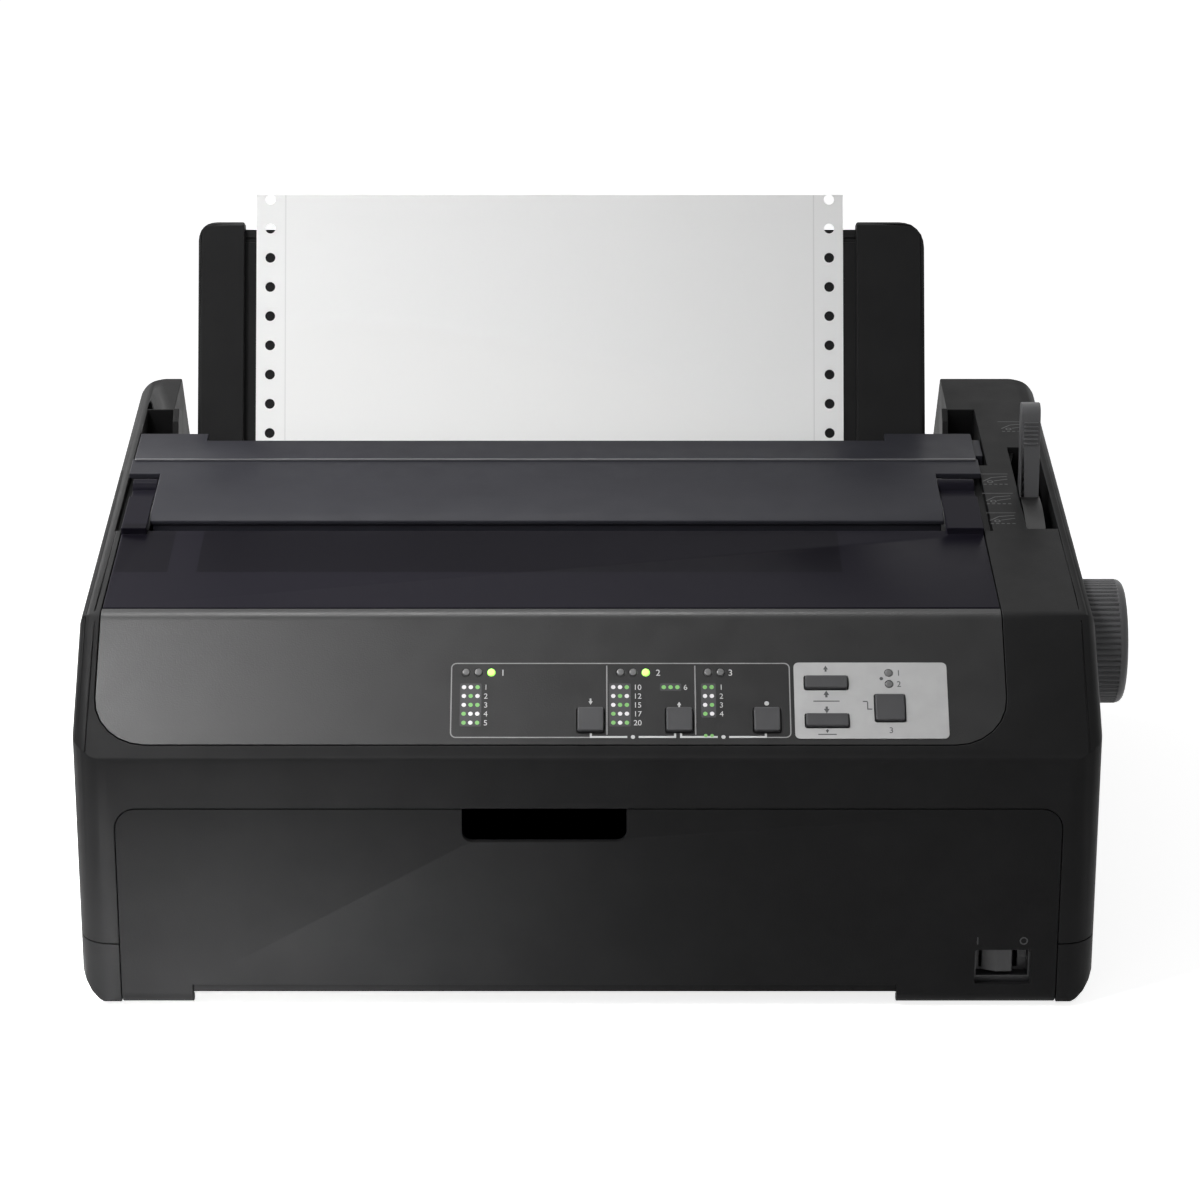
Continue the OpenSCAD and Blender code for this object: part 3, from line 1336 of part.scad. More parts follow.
// ---- carriage ----
carriage_y0 = rail_y - 12;
carriage_y1 = rail_y + 12;
carriage_z0 = rail_z - 8;
carriage_z1 = rail_z + 8;
belt_r = pulley_r + gap;
clamp_half = 5;
module carriage() {
  color("#3a3a3e") place()
    difference() {
      union() {
        block(carriage_x - carriage_w / 2, carriage_x + carriage_w / 2, carriage_y0, carriage_y1,
          carriage_z0, carriage_z1);
        block(carriage_x - carriage_w / 2 + 4, carriage_x + carriage_w / 2 - 4, guide_rail_y - 3,
          carriage_y0 + 1, guide_rail_z + gap, guide_rail_z + gap + 3);
        block(carriage_x - carriage_w / 2 + 4, carriage_x + carriage_w / 2 - 4, guide_rail_y - 3,
          guide_rail_y - gap, guide_rail_z - 4, guide_rail_z + gap + 1);
        block(carriage_x - clamp_half, carriage_x + clamp_half, belt_y + belt_r - gap - 2,
          belt_y + belt_r + belt_t + gap + 2, belt_z + 0.6, carriage_z0 + 1);
      }
      rod(carriage_x - carriage_w, carriage_x + carriage_w, rail_y, rail_z, rail_r + shaft_clear);
      block(carriage_x - carriage_w, carriage_x + carriage_w, belt_y + belt_r - gap,
        belt_y + belt_r + belt_t + gap, 0, belt_z + pulley_h + 0.5);
    }
}
head_z1 = 110;
nose_gap = 2.9;
module print_head() {
  color("#4a4d52") place()
    difference() {
      union() {
        block(carriage_x - head_w / 2, carriage_x + head_w / 2, rail_y - 10, rail_y + 16,
          carriage_z1, head_z1);
        block(carriage_x - 8, carriage_x + 8, rail_y + 15, platen_c[0] - platen_r - nose_gap,
          platen_c[1] - 8, platen_c[1] + 8);
      }
      // the gaps between the cooling fins
      for (i = [0:5])
        block(carriage_x - head_w / 2 + 2.6 + 4.4 * i, carriage_x - head_w / 2 + 4.9 + 4.4 * i,
          rail_y - 11, rail_y + 10, head_z1 - 12, head_z1 + 1);
    }
}
carriage_motor_r = 17;
module carriage_motor() {
  color("#8c8f94") place()
    translate([belt_x0, belt_y, 0])
      difference() {
        union() {
          cylinder_up(base_top + base_t, belt_z - 6, carriage_motor_r);
          cylinder_up(belt_z - 7, belt_z - 4, 6);
        }
        cylinder_up(belt_z - 12, belt_z, motor_shaft_r + shaft_clear);
      }
}
module pulley_body() {
  cylinder_up(belt_z, belt_z + pulley_h, pulley_r);
  for (z = [belt_z, belt_z + pulley_h - 0.8]) cylinder_up(z, z + 0.8, pulley_r + 2);
}
module drive_pulley() {
  color("#d8d8d2") place()
    translate([belt_x0, belt_y, 0]) {
      pulley_body();
      cylinder_up(belt_z - 11, belt_z + 1, motor_shaft_r);
    }
}
module idler_pulley() {
  color("#d8d8d2") place()
    translate([belt_x1, belt_y, 0])
      difference() {
        pulley_body();
        cylinder_up(belt_z - 1, belt_z + pulley_h + 1, idler_stud_r + shaft_clear);
      }
}
module belt_loop(r) { round_rect(belt_x0 - r, belt_x1 + r, belt_y - r, belt_y + r, r - sliver); }
module timing_belt() {
  color("#1b1b1b") place()
    translate([0, 0, belt_z + 1])
      linear_extrude(belt_w)
        difference() {
          belt_loop(belt_r + belt_t);
          belt_loop(belt_r);
        }
}
cart_x0 = frame_x0 + frame_t + gap;
cart_x1 = frame_x1 - frame_t - gap;
cart_y = [60, 75];
cart_z = [84, 104];
ribbon_y = platen_c[0] - platen_r - 2;
module ribbon_cartridge() {
  color("#202022") place()
    difference() {
      union() {
        along_z(cart_z[0], cart_z[1]) round_rect(cart_x0, cart_x1, cart_y[0], cart_y[1], 3);
        for (x = [cart_x0, cart_x1 - 8])
          block(x, x + 8, cart_y[1] - 2, ribbon_y + 0.3, cart_z[0] + 1, cart_z[1] - 3);
        block(cart_x0 + 1, cart_x1 - 1, ribbon_y - 0.1, ribbon_y + 0.3,
          platen_c[1] - 6, platen_c[1] + 6);
        rod(cart_x0 - frame_t - gap, cart_x1 + frame_t + gap, peg_c[0], peg_c[1], peg_r);
      }
      translate([cart_knob[0], cart_knob[1], cart_z[1] - 6]) cylinder(h = 10, r = 3 + shaft_clear);
    }
}
module along_z(z0, z1) { translate([0, 0, z0]) linear_extrude(z1 - z0) children(); }
cart_knob = [82, (cart_y[0] + cart_y[1]) / 2];
module ribbon_knob() {
  color("#4c4c50") place()
    translate([cart_knob[0], cart_knob[1], 0]) {
      cylinder_up(cart_z[1] - 5.5, cart_z[1] + 4, 3);
      along_z(cart_z[1] + gap, cart_z[1] + 7)
        difference() {
          circle(r = 7);
          for (a = [0:30:330]) translate(7.6 * heading(a)) circle(r = 1.2, $fn = 24);
        }
    }
}

// ---- tractors ----
support_y = drive_y + 45;
bracket_t = 3;
bracket_x = [shoulder_x0 + 3, shoulder_x1 - 3 - bracket_t];
journal_r = 2.8;
module tractor_brackets() {
  color("#2d2d30") place()
    for (x = bracket_x)
      difference() {
        along_x(x, x + bracket_t)
          polygon([
            [drive_y - 7, bay_z], [support_y + 8, bay_z],
            each rounded([support_y + 8, drive_z + 10], 90, 180, 4),
            each rounded([drive_y - 7, drive_z + 10], 180, 270, 4)
          ]);
        rod(x - 1, x + bracket_t + 1, drive_y, drive_z, journal_r + shaft_clear);
        rod(x - 1, x + bracket_t + 1, support_y, drive_z, support_r + 0.02);
      }
}
module support_shaft() {
  color("#c4c7ca") place() rod(bracket_x[0], bracket_x[1] + bracket_t, support_y, drive_z, support_r);
}
module square_rod(x0, x1, a) {
  block(x0, x1, drive_y - a / 2, drive_y + a / 2, drive_z - a / 2, drive_z + a / 2);
}
module drive_shaft() {
  color("#c4c7ca") place() {
    square_rod(bracket_x[0] + bracket_t + 0.4, bracket_x[1] - 0.4, drive_a);
    rod(bracket_x[0], bracket_x[1] + bracket_t, drive_y, drive_z, journal_r);
  }
}
module tractor_gear() {
  color("#d8d8d2") place()
    difference() {
      translate([0, drive_y, drive_z])
        gear(tractor_gear_n, gear_x0, gear_w,
          mesh_phase(tractor_gear_n, idler_n, idler_phase, direction(idler_c, tractor_c)), 0);
      square_rod(gear_x0 - 1, gear_x0 + gear_w + 1, drive_a + 0.1);
    }
}
hole_x0 = paper_x0 + hole_margin;
hole_x1 = paper_x0 + paper_w - hole_margin;
wheel_r = hole_pitch * 5 / (2 * PI) - 0.25;
wheel_w = 6.4;
wheel_pins = 5;
pin_out = 2;
lid_z = drive_z + wheel_r + pin_out - 0.6;
lid_t = 2.4;
lid_pin_r = 1.2;
lid_hinge_z = lid_z + lid_t / 2;
tractor_y0 = drive_y - 12;
tractor_y1 = tractor_y0 + tractor_l;
lid_y0 = tractor_y0 + 6;
lid_y1 = tractor_y1 - 6;
// Drawn round x = 0 with the hinge of the lid on the left
module tractor_body() {
  difference() {
    union() {
      block(-tractor_w / 2, tractor_w / 2, tractor_y0, tractor_y1, drive_z - 10, drive_z + wheel_r - 0.4);
      for (y = [lid_y0 - gap - 3, lid_y1 + gap])
        block(-tractor_w / 2, -tractor_w / 2 + 4.4, y, y + 3, drive_z, lid_hinge_z + 2.4);
    }
    block(-wheel_w / 2 - gap, wheel_w / 2 + gap, tractor_y0 - 1, drive_y + wheel_r + pin_out + 1, 0, far);
    rod(-tractor_w, tractor_w, drive_y, drive_z, drive_a / 2 * sqrt(2) + 0.4);
    rod(-tractor_w, tractor_w, support_y, drive_z, support_r + shaft_clear);
    translate([-tractor_w / 2 + 2.2, 0, lid_hinge_z]) rotate([-90, 0, 0])
      translate([0, 0, tractor_y0 - 1]) cylinder(h = tractor_l + 2, r = lid_pin_r + shaft_clear);
  }
}
module tractor_lid() {
  difference() {
    union() {
      block(-tractor_w / 2 + 2.2, tractor_w / 2, lid_y0, lid_y1, lid_z, lid_z + lid_t);
      translate([-tractor_w / 2 + 2.2, 0, lid_hinge_z]) rotate([-90, 0, 0]) {
        translate([0, 0, lid_y0]) cylinder(h = lid_y1 - lid_y0, r = 2);
        translate([0, 0, lid_y0 - 3]) cylinder(h = lid_y1 - lid_y0 + 6, r = lid_pin_r);
      }
    }
    block(-2.6, 2.6, lid_y0 - 1, drive_y + 14, 0, far);
  }
}
module tractor_wheel() {
  difference() {
    union() {
      rod(-wheel_w / 2, wheel_w / 2, drive_y, drive_z, wheel_r);
      for (i = [0:wheel_pins - 1])
        translate([0, drive_y, drive_z]) rotate([360 * i / wheel_pins, 0, 0])
          cylinder_up(wheel_r - 2, wheel_r + pin_out, 1.5);
    }
    square_rod(-wheel_w, wheel_w, drive_a + 0.2);
  }
}
module left_tractor() { color("#37373b") place() translate([hole_x0, 0, 0]) tractor_body(); }
module right_tractor() {
  color("#37373b") place() translate([hole_x1, 0, 0]) mirror([1, 0, 0]) tractor_body();
}
module left_tractor_lid() { color("#46464b") place() translate([hole_x0, 0, 0]) tractor_lid(); }
module right_tractor_lid() {
  color("#46464b") place() translate([hole_x1, 0, 0]) mirror([1, 0, 0]) tractor_lid();
}
module left_tractor_wheel() { color("#e4e1d6") place() translate([hole_x0, 0, 0]) tractor_wheel(); }
module right_tractor_wheel() { color("#e4e1d6") place() translate([hole_x1, 0, 0]) tractor_wheel(); }

// ---- electronics ----
chip_top = board_z + board_t;
module main_board() {
  color("#1f5c36") place() {
    block(board_x0, board_x0 + board_w, board_y0, board_y1, board_z, board_z + board_t);
    block(port_x0, port_x0 + port_w, body_d - 16, body_d - 0.5, chip_top - 0.3, port_z + 14);
    block(usb_x - 7, usb_x + 7, body_d - 16, body_d - 0.5, chip_top - 0.3, port_z + 13);
    for (x = [board_x0 + 38:36:board_x0 + board_w - 50])
      block(x, x + 24, board_y0 + 14, board_y0 + 38, chip_top - 0.3, chip_top + 3);
    for (x = [board_x0 + 10, board_x0 + board_w - 20, board_x0 + board_w - 10])
      translate([x, board_y0 + 20, 0]) cylinder_up(chip_top - 0.3, chip_top + 12, 4);
  }
}
module power_supply() {
  color("#23624a") place()
    difference() {
      union() {
        block(supply_x0, supply_x0 + supply_w, board_y0, board_y1, board_z, board_z + board_t);
        block(inlet_x - inlet_w / 2, inlet_x + inlet_w / 2, body_d - 24, body_d - 0.5,
          chip_top - 0.3, chip_top + inlet_h);
        block(supply_x0 + 50, supply_x0 + 95, board_y0 + 18, board_y0 + 54, chip_top - 0.3,
          chip_top + 25);
        translate([supply_x0 + 18, board_y0 + 22, 0]) cylinder_up(chip_top - 0.3, chip_top + 24, 10);
      }
      difference() {
        block(inlet_x - 11, inlet_x + 11, body_d - 14, body_d + 1, chip_top + 3, chip_top + inlet_h - 3);
        for (x = [-6, 0, 6])
          block(inlet_x + x - 1, inlet_x + x + 1, body_d - 15, body_d - 4,
            chip_top + (x == 0 ? 12 : 8) - 2, chip_top + (x == 0 ? 12 : 8) + 2);
      }
    }
}

lower_case();
upper_case();
front_cover();
window_cover();
rear_cover();
control_panel();
panel_label();
button(0);  // item_up_button
button(1);  // item_down_button
button(2);  // set_button
button(3);  // load_button
button(4);  // feed_button
button(5);  // pause_button
panel_lamps();
panel_board();
power_switch_housing();
power_rocker();
rubber_feet();
case_screws();
sheet_guide();
left_edge_guide();
right_edge_guide();
paper();
release_lever();
feed_knob();
knob_shaft();
platen_shaft();
platen_roller();
platen_gears();
idler_gear();
feed_motor();
motor_pinion();
left_frame();
right_frame();
base_plate();
platen_bushings();
pressure_shaft();
pressure_rollers();
carriage_rail();
guide_rail();
carriage();
print_head();
carriage_motor();
drive_pulley();
idler_pulley();
timing_belt();
ribbon_cartridge();
ribbon_knob();
tractor_brackets();
support_shaft();
drive_shaft();
tractor_gear();
left_tractor();
right_tractor();
left_tractor_lid();
right_tractor_lid();
left_tractor_wheel();
right_tractor_wheel();
main_board();
power_supply();
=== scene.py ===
"""Looks of the dot matrix printer: moulded plastics, panel print, lamps, engraved marks, light and camera.

The CAD's drawing has X from the middle of the casing, Y from its front face and Z from a little above
the feet, in millimetres. at() turns such a place into the frame's metres.
"""

import json
import math

import bmesh
import bpy
from mathutils import Matrix, Vector


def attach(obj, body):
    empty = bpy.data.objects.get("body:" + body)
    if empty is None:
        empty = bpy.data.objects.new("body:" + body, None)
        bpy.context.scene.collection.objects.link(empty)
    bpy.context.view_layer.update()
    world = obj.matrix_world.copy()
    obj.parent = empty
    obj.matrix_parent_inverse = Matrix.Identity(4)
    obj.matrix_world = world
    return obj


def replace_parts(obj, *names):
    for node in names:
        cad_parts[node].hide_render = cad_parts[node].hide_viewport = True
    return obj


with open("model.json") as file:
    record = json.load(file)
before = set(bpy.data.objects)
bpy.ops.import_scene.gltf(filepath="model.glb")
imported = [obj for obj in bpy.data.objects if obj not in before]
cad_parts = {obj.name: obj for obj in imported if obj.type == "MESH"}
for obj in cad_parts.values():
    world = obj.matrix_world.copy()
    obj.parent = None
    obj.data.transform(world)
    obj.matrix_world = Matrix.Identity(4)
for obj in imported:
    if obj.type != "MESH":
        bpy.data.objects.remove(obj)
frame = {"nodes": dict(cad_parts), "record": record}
nodes = frame["nodes"]
body_of = {n: b for b, group in frame["record"]["behaviour"]["bodies"].items() for n in group}
slot_of = {s["node"]: s["material_slot"] for s in frame["record"]["subparts"]}
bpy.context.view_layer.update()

MM = 0.001
CASING_MIDDLE_X = -8.6
CASING_FRONT_Y = -175
CASING_LIFT = 2.2
PANEL_TILT = math.radians(42.6)
PANEL_EDGE_Z = 101
TOP_TILT = math.radians(6)
SHOULDER_Y, SHOULDER_Z = 286, 169


def at(x, y, z):
    """A place in the drawing, in millimetres, as metres in the frame."""
    return Vector((x + CASING_MIDDLE_X, y + CASING_FRONT_Y, z + CASING_LIFT)) * MM


def plane_at(origin, tilt):
    """Carries a flat drawing in millimetres to a plane that rises to the back by tilt."""
    return Matrix.Translation(origin) @ Matrix.Rotation(tilt, 4, "X") @ Matrix.Scale(MM, 4)


ON_PANEL = plane_at(at(0, 0, PANEL_EDGE_Z), PANEL_TILT)
ON_SHOULDER = plane_at(at(0, SHOULDER_Y, SHOULDER_Z), TOP_TILT)
ON_FRONT = plane_at(at(0, 0, 0), math.radians(90))


def up_panel(y):
    """Distance up the panel's slope for a distance from the front."""
    return y / math.cos(PANEL_TILT)


# ---- materials ----------------------------------------------------------------------------------


class Finish:
    """A material under construction: a Principled shader and the nodes that vary it."""

    def __init__(self, name):
        self.material = bpy.data.materials.new(name)
        self.material.use_nodes = True
        self.tree = self.material.node_tree
        self.shader = self.tree.nodes["Principled BSDF"]
        self.place = self.tree.nodes.new("ShaderNodeTexCoord").outputs["Object"]

    def link(self, a, b):
        self.tree.links.new(a, b)

    def noise(self, scale, detail=2.0, stretch=(1, 1, 1)):
        mapping = self.tree.nodes.new("ShaderNodeMapping")
        mapping.inputs["Scale"].default_value = stretch
        self.link(self.place, mapping.inputs["Vector"])
        noise = self.tree.nodes.new("ShaderNodeTexNoise")
        noise.inputs["Scale"].default_value = scale
        noise.inputs["Detail"].default_value = detail
        self.link(mapping.outputs["Vector"], noise.inputs["Vector"])
        return noise.outputs["Fac"]

    def between(self, value, low, high, start=0.3, end=0.7):
        mapped = self.tree.nodes.new("ShaderNodeMapRange")
        for name, number in (("From Min", start), ("From Max", end), ("To Min", low), ("To Max", high)):
            mapped.inputs[name].default_value = number
        self.link(value, mapped.inputs["Value"])
        return mapped.outputs["Result"]

    def blend(self, factor, a, b):
        mix = self.tree.nodes.new("ShaderNodeMix")
        mix.data_type = "RGBA"
        mix.inputs["A"].default_value = (*a, 1)
        mix.inputs["B"].default_value = (*b, 1)
        self.link(factor, mix.inputs["Factor"])
        return mix.outputs["Result"]

    def math(self, operation, a, b, c=None):
        """A sum on two or three values; each is a socket or a number."""
        node = self.tree.nodes.new("ShaderNodeMath")
        node.operation = operation
        for i, value in enumerate((a, b, c)):
            if isinstance(value, (int, float)):
                node.inputs[i].default_value = value
            elif value is not None:
                self.link(value, node.inputs[i])
        return node.outputs[0]

    def within(self, axis, low, high):
        """1 between two places along an axis of the frame, given in metres, and 0 outside them."""
        separate = self.tree.nodes.new("ShaderNodeSeparateXYZ")
        self.link(self.place, separate.inputs["Vector"])
        return self.math("COMPARE", separate.outputs[axis], (low + high) / 2, (high - low) / 2)

    def colour(self, a, b, scale=60):
        self.link(self.blend(self.between(self.noise(scale), 0, 1), a, b), self.shader.inputs["Base Color"])
        return self

    def rough(self, low, high, scale=90, stretch=(1, 1, 1)):
        self.link(self.between(self.noise(scale, 2, stretch), low, high), self.shader.inputs["Roughness"])
        return self

    def shine(self, specular):
        self.shader.inputs["Specular IOR Level"].default_value = specular
        return self

    def bump(self, height, strength, distance):
        bump = self.tree.nodes.new("ShaderNodeBump")
        bump.inputs["Strength"].default_value = strength
        bump.inputs["Distance"].default_value = distance
        self.link(height, bump.inputs["Height"])
        self.link(bump.outputs["Normal"], self.shader.inputs["Normal"])
        return self


GRAIN_SCALE = 1700
GRAIN_DEPTH = 0.00008


def moulded(name, a, b, rough, grain=0.5, specular=0.4):
    """Injection-moulded plastic with a fine spark-eroded grain."""
    finish = Finish(name).colour(a, b).rough(rough, rough + 0.06).shine(specular)
    return finish.bump(finish.noise(GRAIN_SCALE, 1), grain, GRAIN_DEPTH).material


def plain(name, colour, rough, specular=0.4):
    """Smooth plastic or ink with hardly any grain."""
    darker = tuple(c * 0.92 for c in colour)
    return Finish(name).colour(darker, colour, 150).rough(rough, rough + 0.05).shine(specular).material


def metal(name, colour, rough, stretch):
    """Drawn, ground or rolled metal: the scratches run where stretch is small."""
    darker = tuple(c * 0.85 for c in colour)
    finish = Finish(name).colour(darker, colour, 70).rough(rough, rough + 0.12, 500, stretch)
    finish.shader.inputs["Metallic"].default_value = 1.0
    return finish.bump(finish.noise(700, 2, stretch), 0.12, 0.00005).material


def glowing(name, colour, strength):
    """A lit lamp under its clear lens."""
    finish = Finish(name).colour(colour, tuple(min(1, c * 1.1) for c in colour), 900)
    finish.shader.inputs["Roughness"].default_value = 0.25
    finish.shader.inputs["Emission Color"].default_value = (*colour, 1)
    finish.shader.inputs["Emission Strength"].default_value = strength
    return finish.material


# Left and right end of each dark opening under the window, whose shade is painted into the window's colour,
# and their front and rear edge
PAINTED_SHADE_UNDER_WINDOW = [(-187.6, -166.5), (-155, 101)]
PAINTED_SHADE_FRONT, PAINTED_SHADE_REAR = 84.6, 124


def smoked_plastic():
    """The window cover: smoked plastic with painted shade, darker where the shaded openings of the frame lie
    under it.
    """
    finish = Finish("smoked_plastic")
    painted_shade_area = None
    for x0, x1 in PAINTED_SHADE_UNDER_WINDOW:
        across = finish.within("X", at(x0, 0, 0).x, at(x1, 0, 0).x)
        along = finish.within("Y", at(0, PAINTED_SHADE_FRONT, 0).y, at(0, PAINTED_SHADE_REAR, 0).y)
        area = finish.math("MULTIPLY", across, along)
        painted_shade_area = area if painted_shade_area is None else finish.math("MAXIMUM", painted_shade_area, area)
    mottled_painted_shade = finish.math("MULTIPLY", painted_shade_area, finish.between(finish.noise(12), 0.8, 1))
    # painted shade: the window's colour darkens, mottled, over the shaded openings under it
    shade = finish.blend(mottled_painted_shade, (0.0080, 0.0072, 0.0112), (0.0038, 0.0033, 0.0055))
    finish.link(shade, finish.shader.inputs["Base Color"])
    finish.rough(0.30, 0.34).shine(0.02)
    return finish.bump(finish.noise(1500, 1), 0.1, 0.00003).material


TEAR_LINES = (-130.7, 98)
TEAR_LINE_W = 0.5


def paper_stock():
    """White paper with the two faint lines where its sprocket margins tear off."""
    finish = Finish("paper_stock").shine(0.2)
    half = TEAR_LINE_W / 2
    lines = [finish.within("X", at(x - half, 0, 0).x, at(x + half, 0, 0).x) for x in TEAR_LINES]
    shade = finish.blend(finish.math("MAXIMUM", *lines), (0.84, 0.84, 0.835), (0.72, 0.72, 0.715))
    finish.link(shade, finish.shader.inputs["Base Color"])
    finish.shader.inputs["Roughness"].default_value = 0.85
    return finish.bump(finish.noise(2500, 3), 0.1, 0.00003).material


BOARD_TOP, TALLEST_PART = 13.5, 60


def circuit_board():
    """Green board; the sockets, chips and capacitors that stand on it are black plastic."""
    finish = Finish("board_green").rough(0.4, 0.45).shine(0.3)
    parts = finish.within("Z", at(0, 0, BOARD_TOP).z, at(0, 0, TALLEST_PART).z)
    shade = finish.blend(parts, (0.03, 0.16, 0.07), (0.015, 0.015, 0.016))
    finish.link(shade, finish.shader.inputs["Base Color"])
    return finish.material


LEVER_PIVOT = at(0, 158, 95)
SHIELD_R = 59.9


def lever_plastic():
    """Grey grip; within the shield's radius round the lever's pivot, the lever's lower part and the shield
    are painted black, a painted shadow of the slot and the lever.
    """
    finish = Finish("lever_plastic").rough(0.42, 0.48).shine(0.3)
    separate = finish.tree.nodes.new("ShaderNodeSeparateXYZ")
    finish.link(finish.place, separate.inputs["Vector"])
    along = finish.math("SUBTRACT", separate.outputs["Y"], LEVER_PIVOT.y)
    up = finish.math("SUBTRACT", separate.outputs["Z"], LEVER_PIVOT.z)
    reach = finish.math("ADD", finish.math("MULTIPLY", along, along), finish.math("MULTIPLY", up, up))
    # painted shadow: everything nearer the pivot than the shield's radius is painted black
    painted_shadow_by_pivot = finish.math("LESS_THAN", reach, (SHIELD_R * MM) ** 2)
    shade = finish.blend(painted_shadow_by_pivot, (0.072, 0.072, 0.075), (0.006, 0.006, 0.006))
    finish.link(shade, finish.shader.inputs["Base Color"])
    return finish.bump(finish.noise(GRAIN_SCALE, 1), 0.4, GRAIN_DEPTH).material


MATERIALS = {
    "case_plastic": moulded(
        "case_plastic", (0.0070, 0.0070, 0.0072), (0.0088, 0.0088, 0.0090), 0.46, 0.5, 0.06
    ),
    "cover_plastic": moulded(
        "cover_plastic", (0.016, 0.016, 0.0205), (0.019, 0.019, 0.024), 0.42, 0.4, 0.07
    ),
    "guide_plastic": moulded(
        "guide_plastic", (0.010, 0.010, 0.0102), (0.012, 0.012, 0.0122), 0.44, 0.4, 0.08
    ),
    "smoked_plastic": smoked_plastic(),
    "label_grey": plain("label_grey", (0.34, 0.34, 0.34), 0.45),
    "button_plastic": moulded("button_plastic", (0.040, 0.040, 0.042), (0.048, 0.048, 0.050), 0.4, 0.2, 0.2),
    "lamp_green": glowing("lamp_green", (0.35, 0.85, 0.12), 1.6),
    "grey_plastic": moulded("grey_plastic", (0.060, 0.060, 0.063), (0.070, 0.070, 0.073), 0.42, 0.4, 0.3),
    "black_plastic": moulded("black_plastic", (0.012, 0.012, 0.013), (0.017, 0.017, 0.018), 0.42, 0.3),
    "pale_plastic": moulded("pale_plastic", (0.56, 0.54, 0.46), (0.62, 0.60, 0.52), 0.4, 0.2),
    "rubber": moulded("rubber", (0.016, 0.016, 0.016), (0.022, 0.022, 0.022), 0.75, 0.6, 0.2),
    "sheet_steel": metal("sheet_steel", (0.55, 0.56, 0.57), 0.32, (1, 0.15, 1)),
    "shaft_steel": metal("shaft_steel", (0.62, 0.63, 0.64), 0.16, (1, 0.1, 0.1)),
    "motor_metal": metal("motor_metal", (0.40, 0.41, 0.42), 0.38, (1, 1, 0.2)),
    "screw_steel": metal("screw_steel", (0.35, 0.35, 0.36), 0.3, (1, 1, 1)),
    "board_green": circuit_board(),
    "paper_white": paper_stock(),
    "brass": metal("brass", (0.60, 0.45, 0.20), 0.25, (1, 0.2, 0.2)),
}
PALE_INK = plain("pale_ink", (0.42, 0.42, 0.42), 0.5)
DIM_INK = plain("dim_ink", (0.20, 0.20, 0.20), 0.5)
BLACK_INK = plain("black_ink", (0.045, 0.045, 0.048), 0.5)
WHITE_DOT = plain("white_dot", (0.62, 0.60, 0.62), 0.5)
GREEN_DOT = plain("green_dot", (0.15, 0.38, 0.10), 0.5)
FIELD_INK = plain("field_ink", (0.016, 0.016, 0.018), 0.5)
DARK_LENS = plain("dark_lens", (0.10, 0.10, 0.10), 0.25, 0.5)
ENGRAVED = plain("engraved", (0.010, 0.010, 0.011), 0.35)


# ---- CAD pieces with softened edges -------------------------------------------------------------


def show(name, bm, material, body, place=None):
    """Puts a finished mesh on its body, with its place in its mesh."""
    if place is not None:
        bmesh.ops.transform(bm, matrix=place, verts=bm.verts)
    mesh = bpy.data.meshes.new(name)
    bm.to_mesh(mesh)
    bm.free()
    piece = bpy.data.objects.new(name, mesh)
    bpy.context.scene.collection.objects.link(piece)
    mesh.materials.append(material)
    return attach(piece, body)


# Edges that bend by more than this are sharp, and get rounded
SHARP = math.radians(32)


def soften(node, edge, material=None):
    """A CAD piece with its triangles merged into flat faces and its edges rounded by edge millimetres."""
    bm = bmesh.new()
    bm.from_mesh(nodes[node].data)
    bmesh.ops.remove_doubles(bm, verts=bm.verts, dist=2e-6)
    bmesh.ops.dissolve_limit(bm, angle_limit=math.radians(0.4), verts=bm.verts, edges=bm.edges)
    piece = show(node + "_finished", bm, material or MATERIALS[slot_of[node]], body_of[node])
    for face in piece.data.polygons:
        face.use_smooth = True
    piece.data.set_sharp_from_angle(angle=SHARP)
    rounding = piece.modifiers.new("edges", "BEVEL")
    rounding.width = edge * MM
    rounding.segments = 2
    rounding.limit_method = "ANGLE"
    rounding.angle_limit = SHARP
    rounding.use_clamp_overlap = False
    rounding.harden_normals = True
    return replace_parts(piece, node)


# Pieces whose finish differs from their slot's
OWN_FINISH = {
    "front_cover": moulded(
        "door_plastic", (0.0070, 0.0070, 0.0072), (0.0085, 0.0085, 0.0087), 0.5, 0.5, 0.05
    ),
    "control_panel": moulded(
        "panel_plastic", (0.0045, 0.0045, 0.0047), (0.0058, 0.0058, 0.0060), 0.34, 0.5, 0.27
    ),
    "release_lever": lever_plastic(),
}
# Radius of the rounded edges of each CAD piece that shows, in millimetres
EDGES = {
    "upper_case": 0.4, "lower_case": 0.4, "front_cover": 0.2, "window_cover": 0.4, "rear_cover": 0.4,
    "control_panel": 0.25, "power_switch_housing": 0.2, "power_rocker": 0.4, "sheet_guide": 0.3,
    "left_edge_guide": 0.6, "right_edge_guide": 0.6, "release_lever": 0.15, "feed_knob": 0.12,
    "item_up_button": 0.5, "item_down_button": 0.5, "set_button": 0.5, "load_button": 0.5,
    "feed_button": 0.5, "pause_button": 0.5,
}
for node, edge in EDGES.items():
    soften(node, edge, OWN_FINISH.get(node))
for node in nodes:
    if node not in EDGES:
        nodes[node].data.materials.clear()
        nodes[node].data.materials.append(MATERIALS[slot_of[node]])


# ---- what is printed on the control panel --------------------------------------------------------

INK = 0.05


def bar(bm, x0, x1, y0, y1):
    """A flat rectangle; returns its face."""
    size = Matrix.Diagonal(((x1 - x0) / 2, (y1 - y0) / 2, 1, 1))
    made = bmesh.ops.create_grid(
        bm, x_segments=1, y_segments=1, size=1,
        matrix=Matrix.Translation(((x0 + x1) / 2, (y0 + y1) / 2, 0)) @ size,
    )
    return made["verts"][0].link_faces[0]


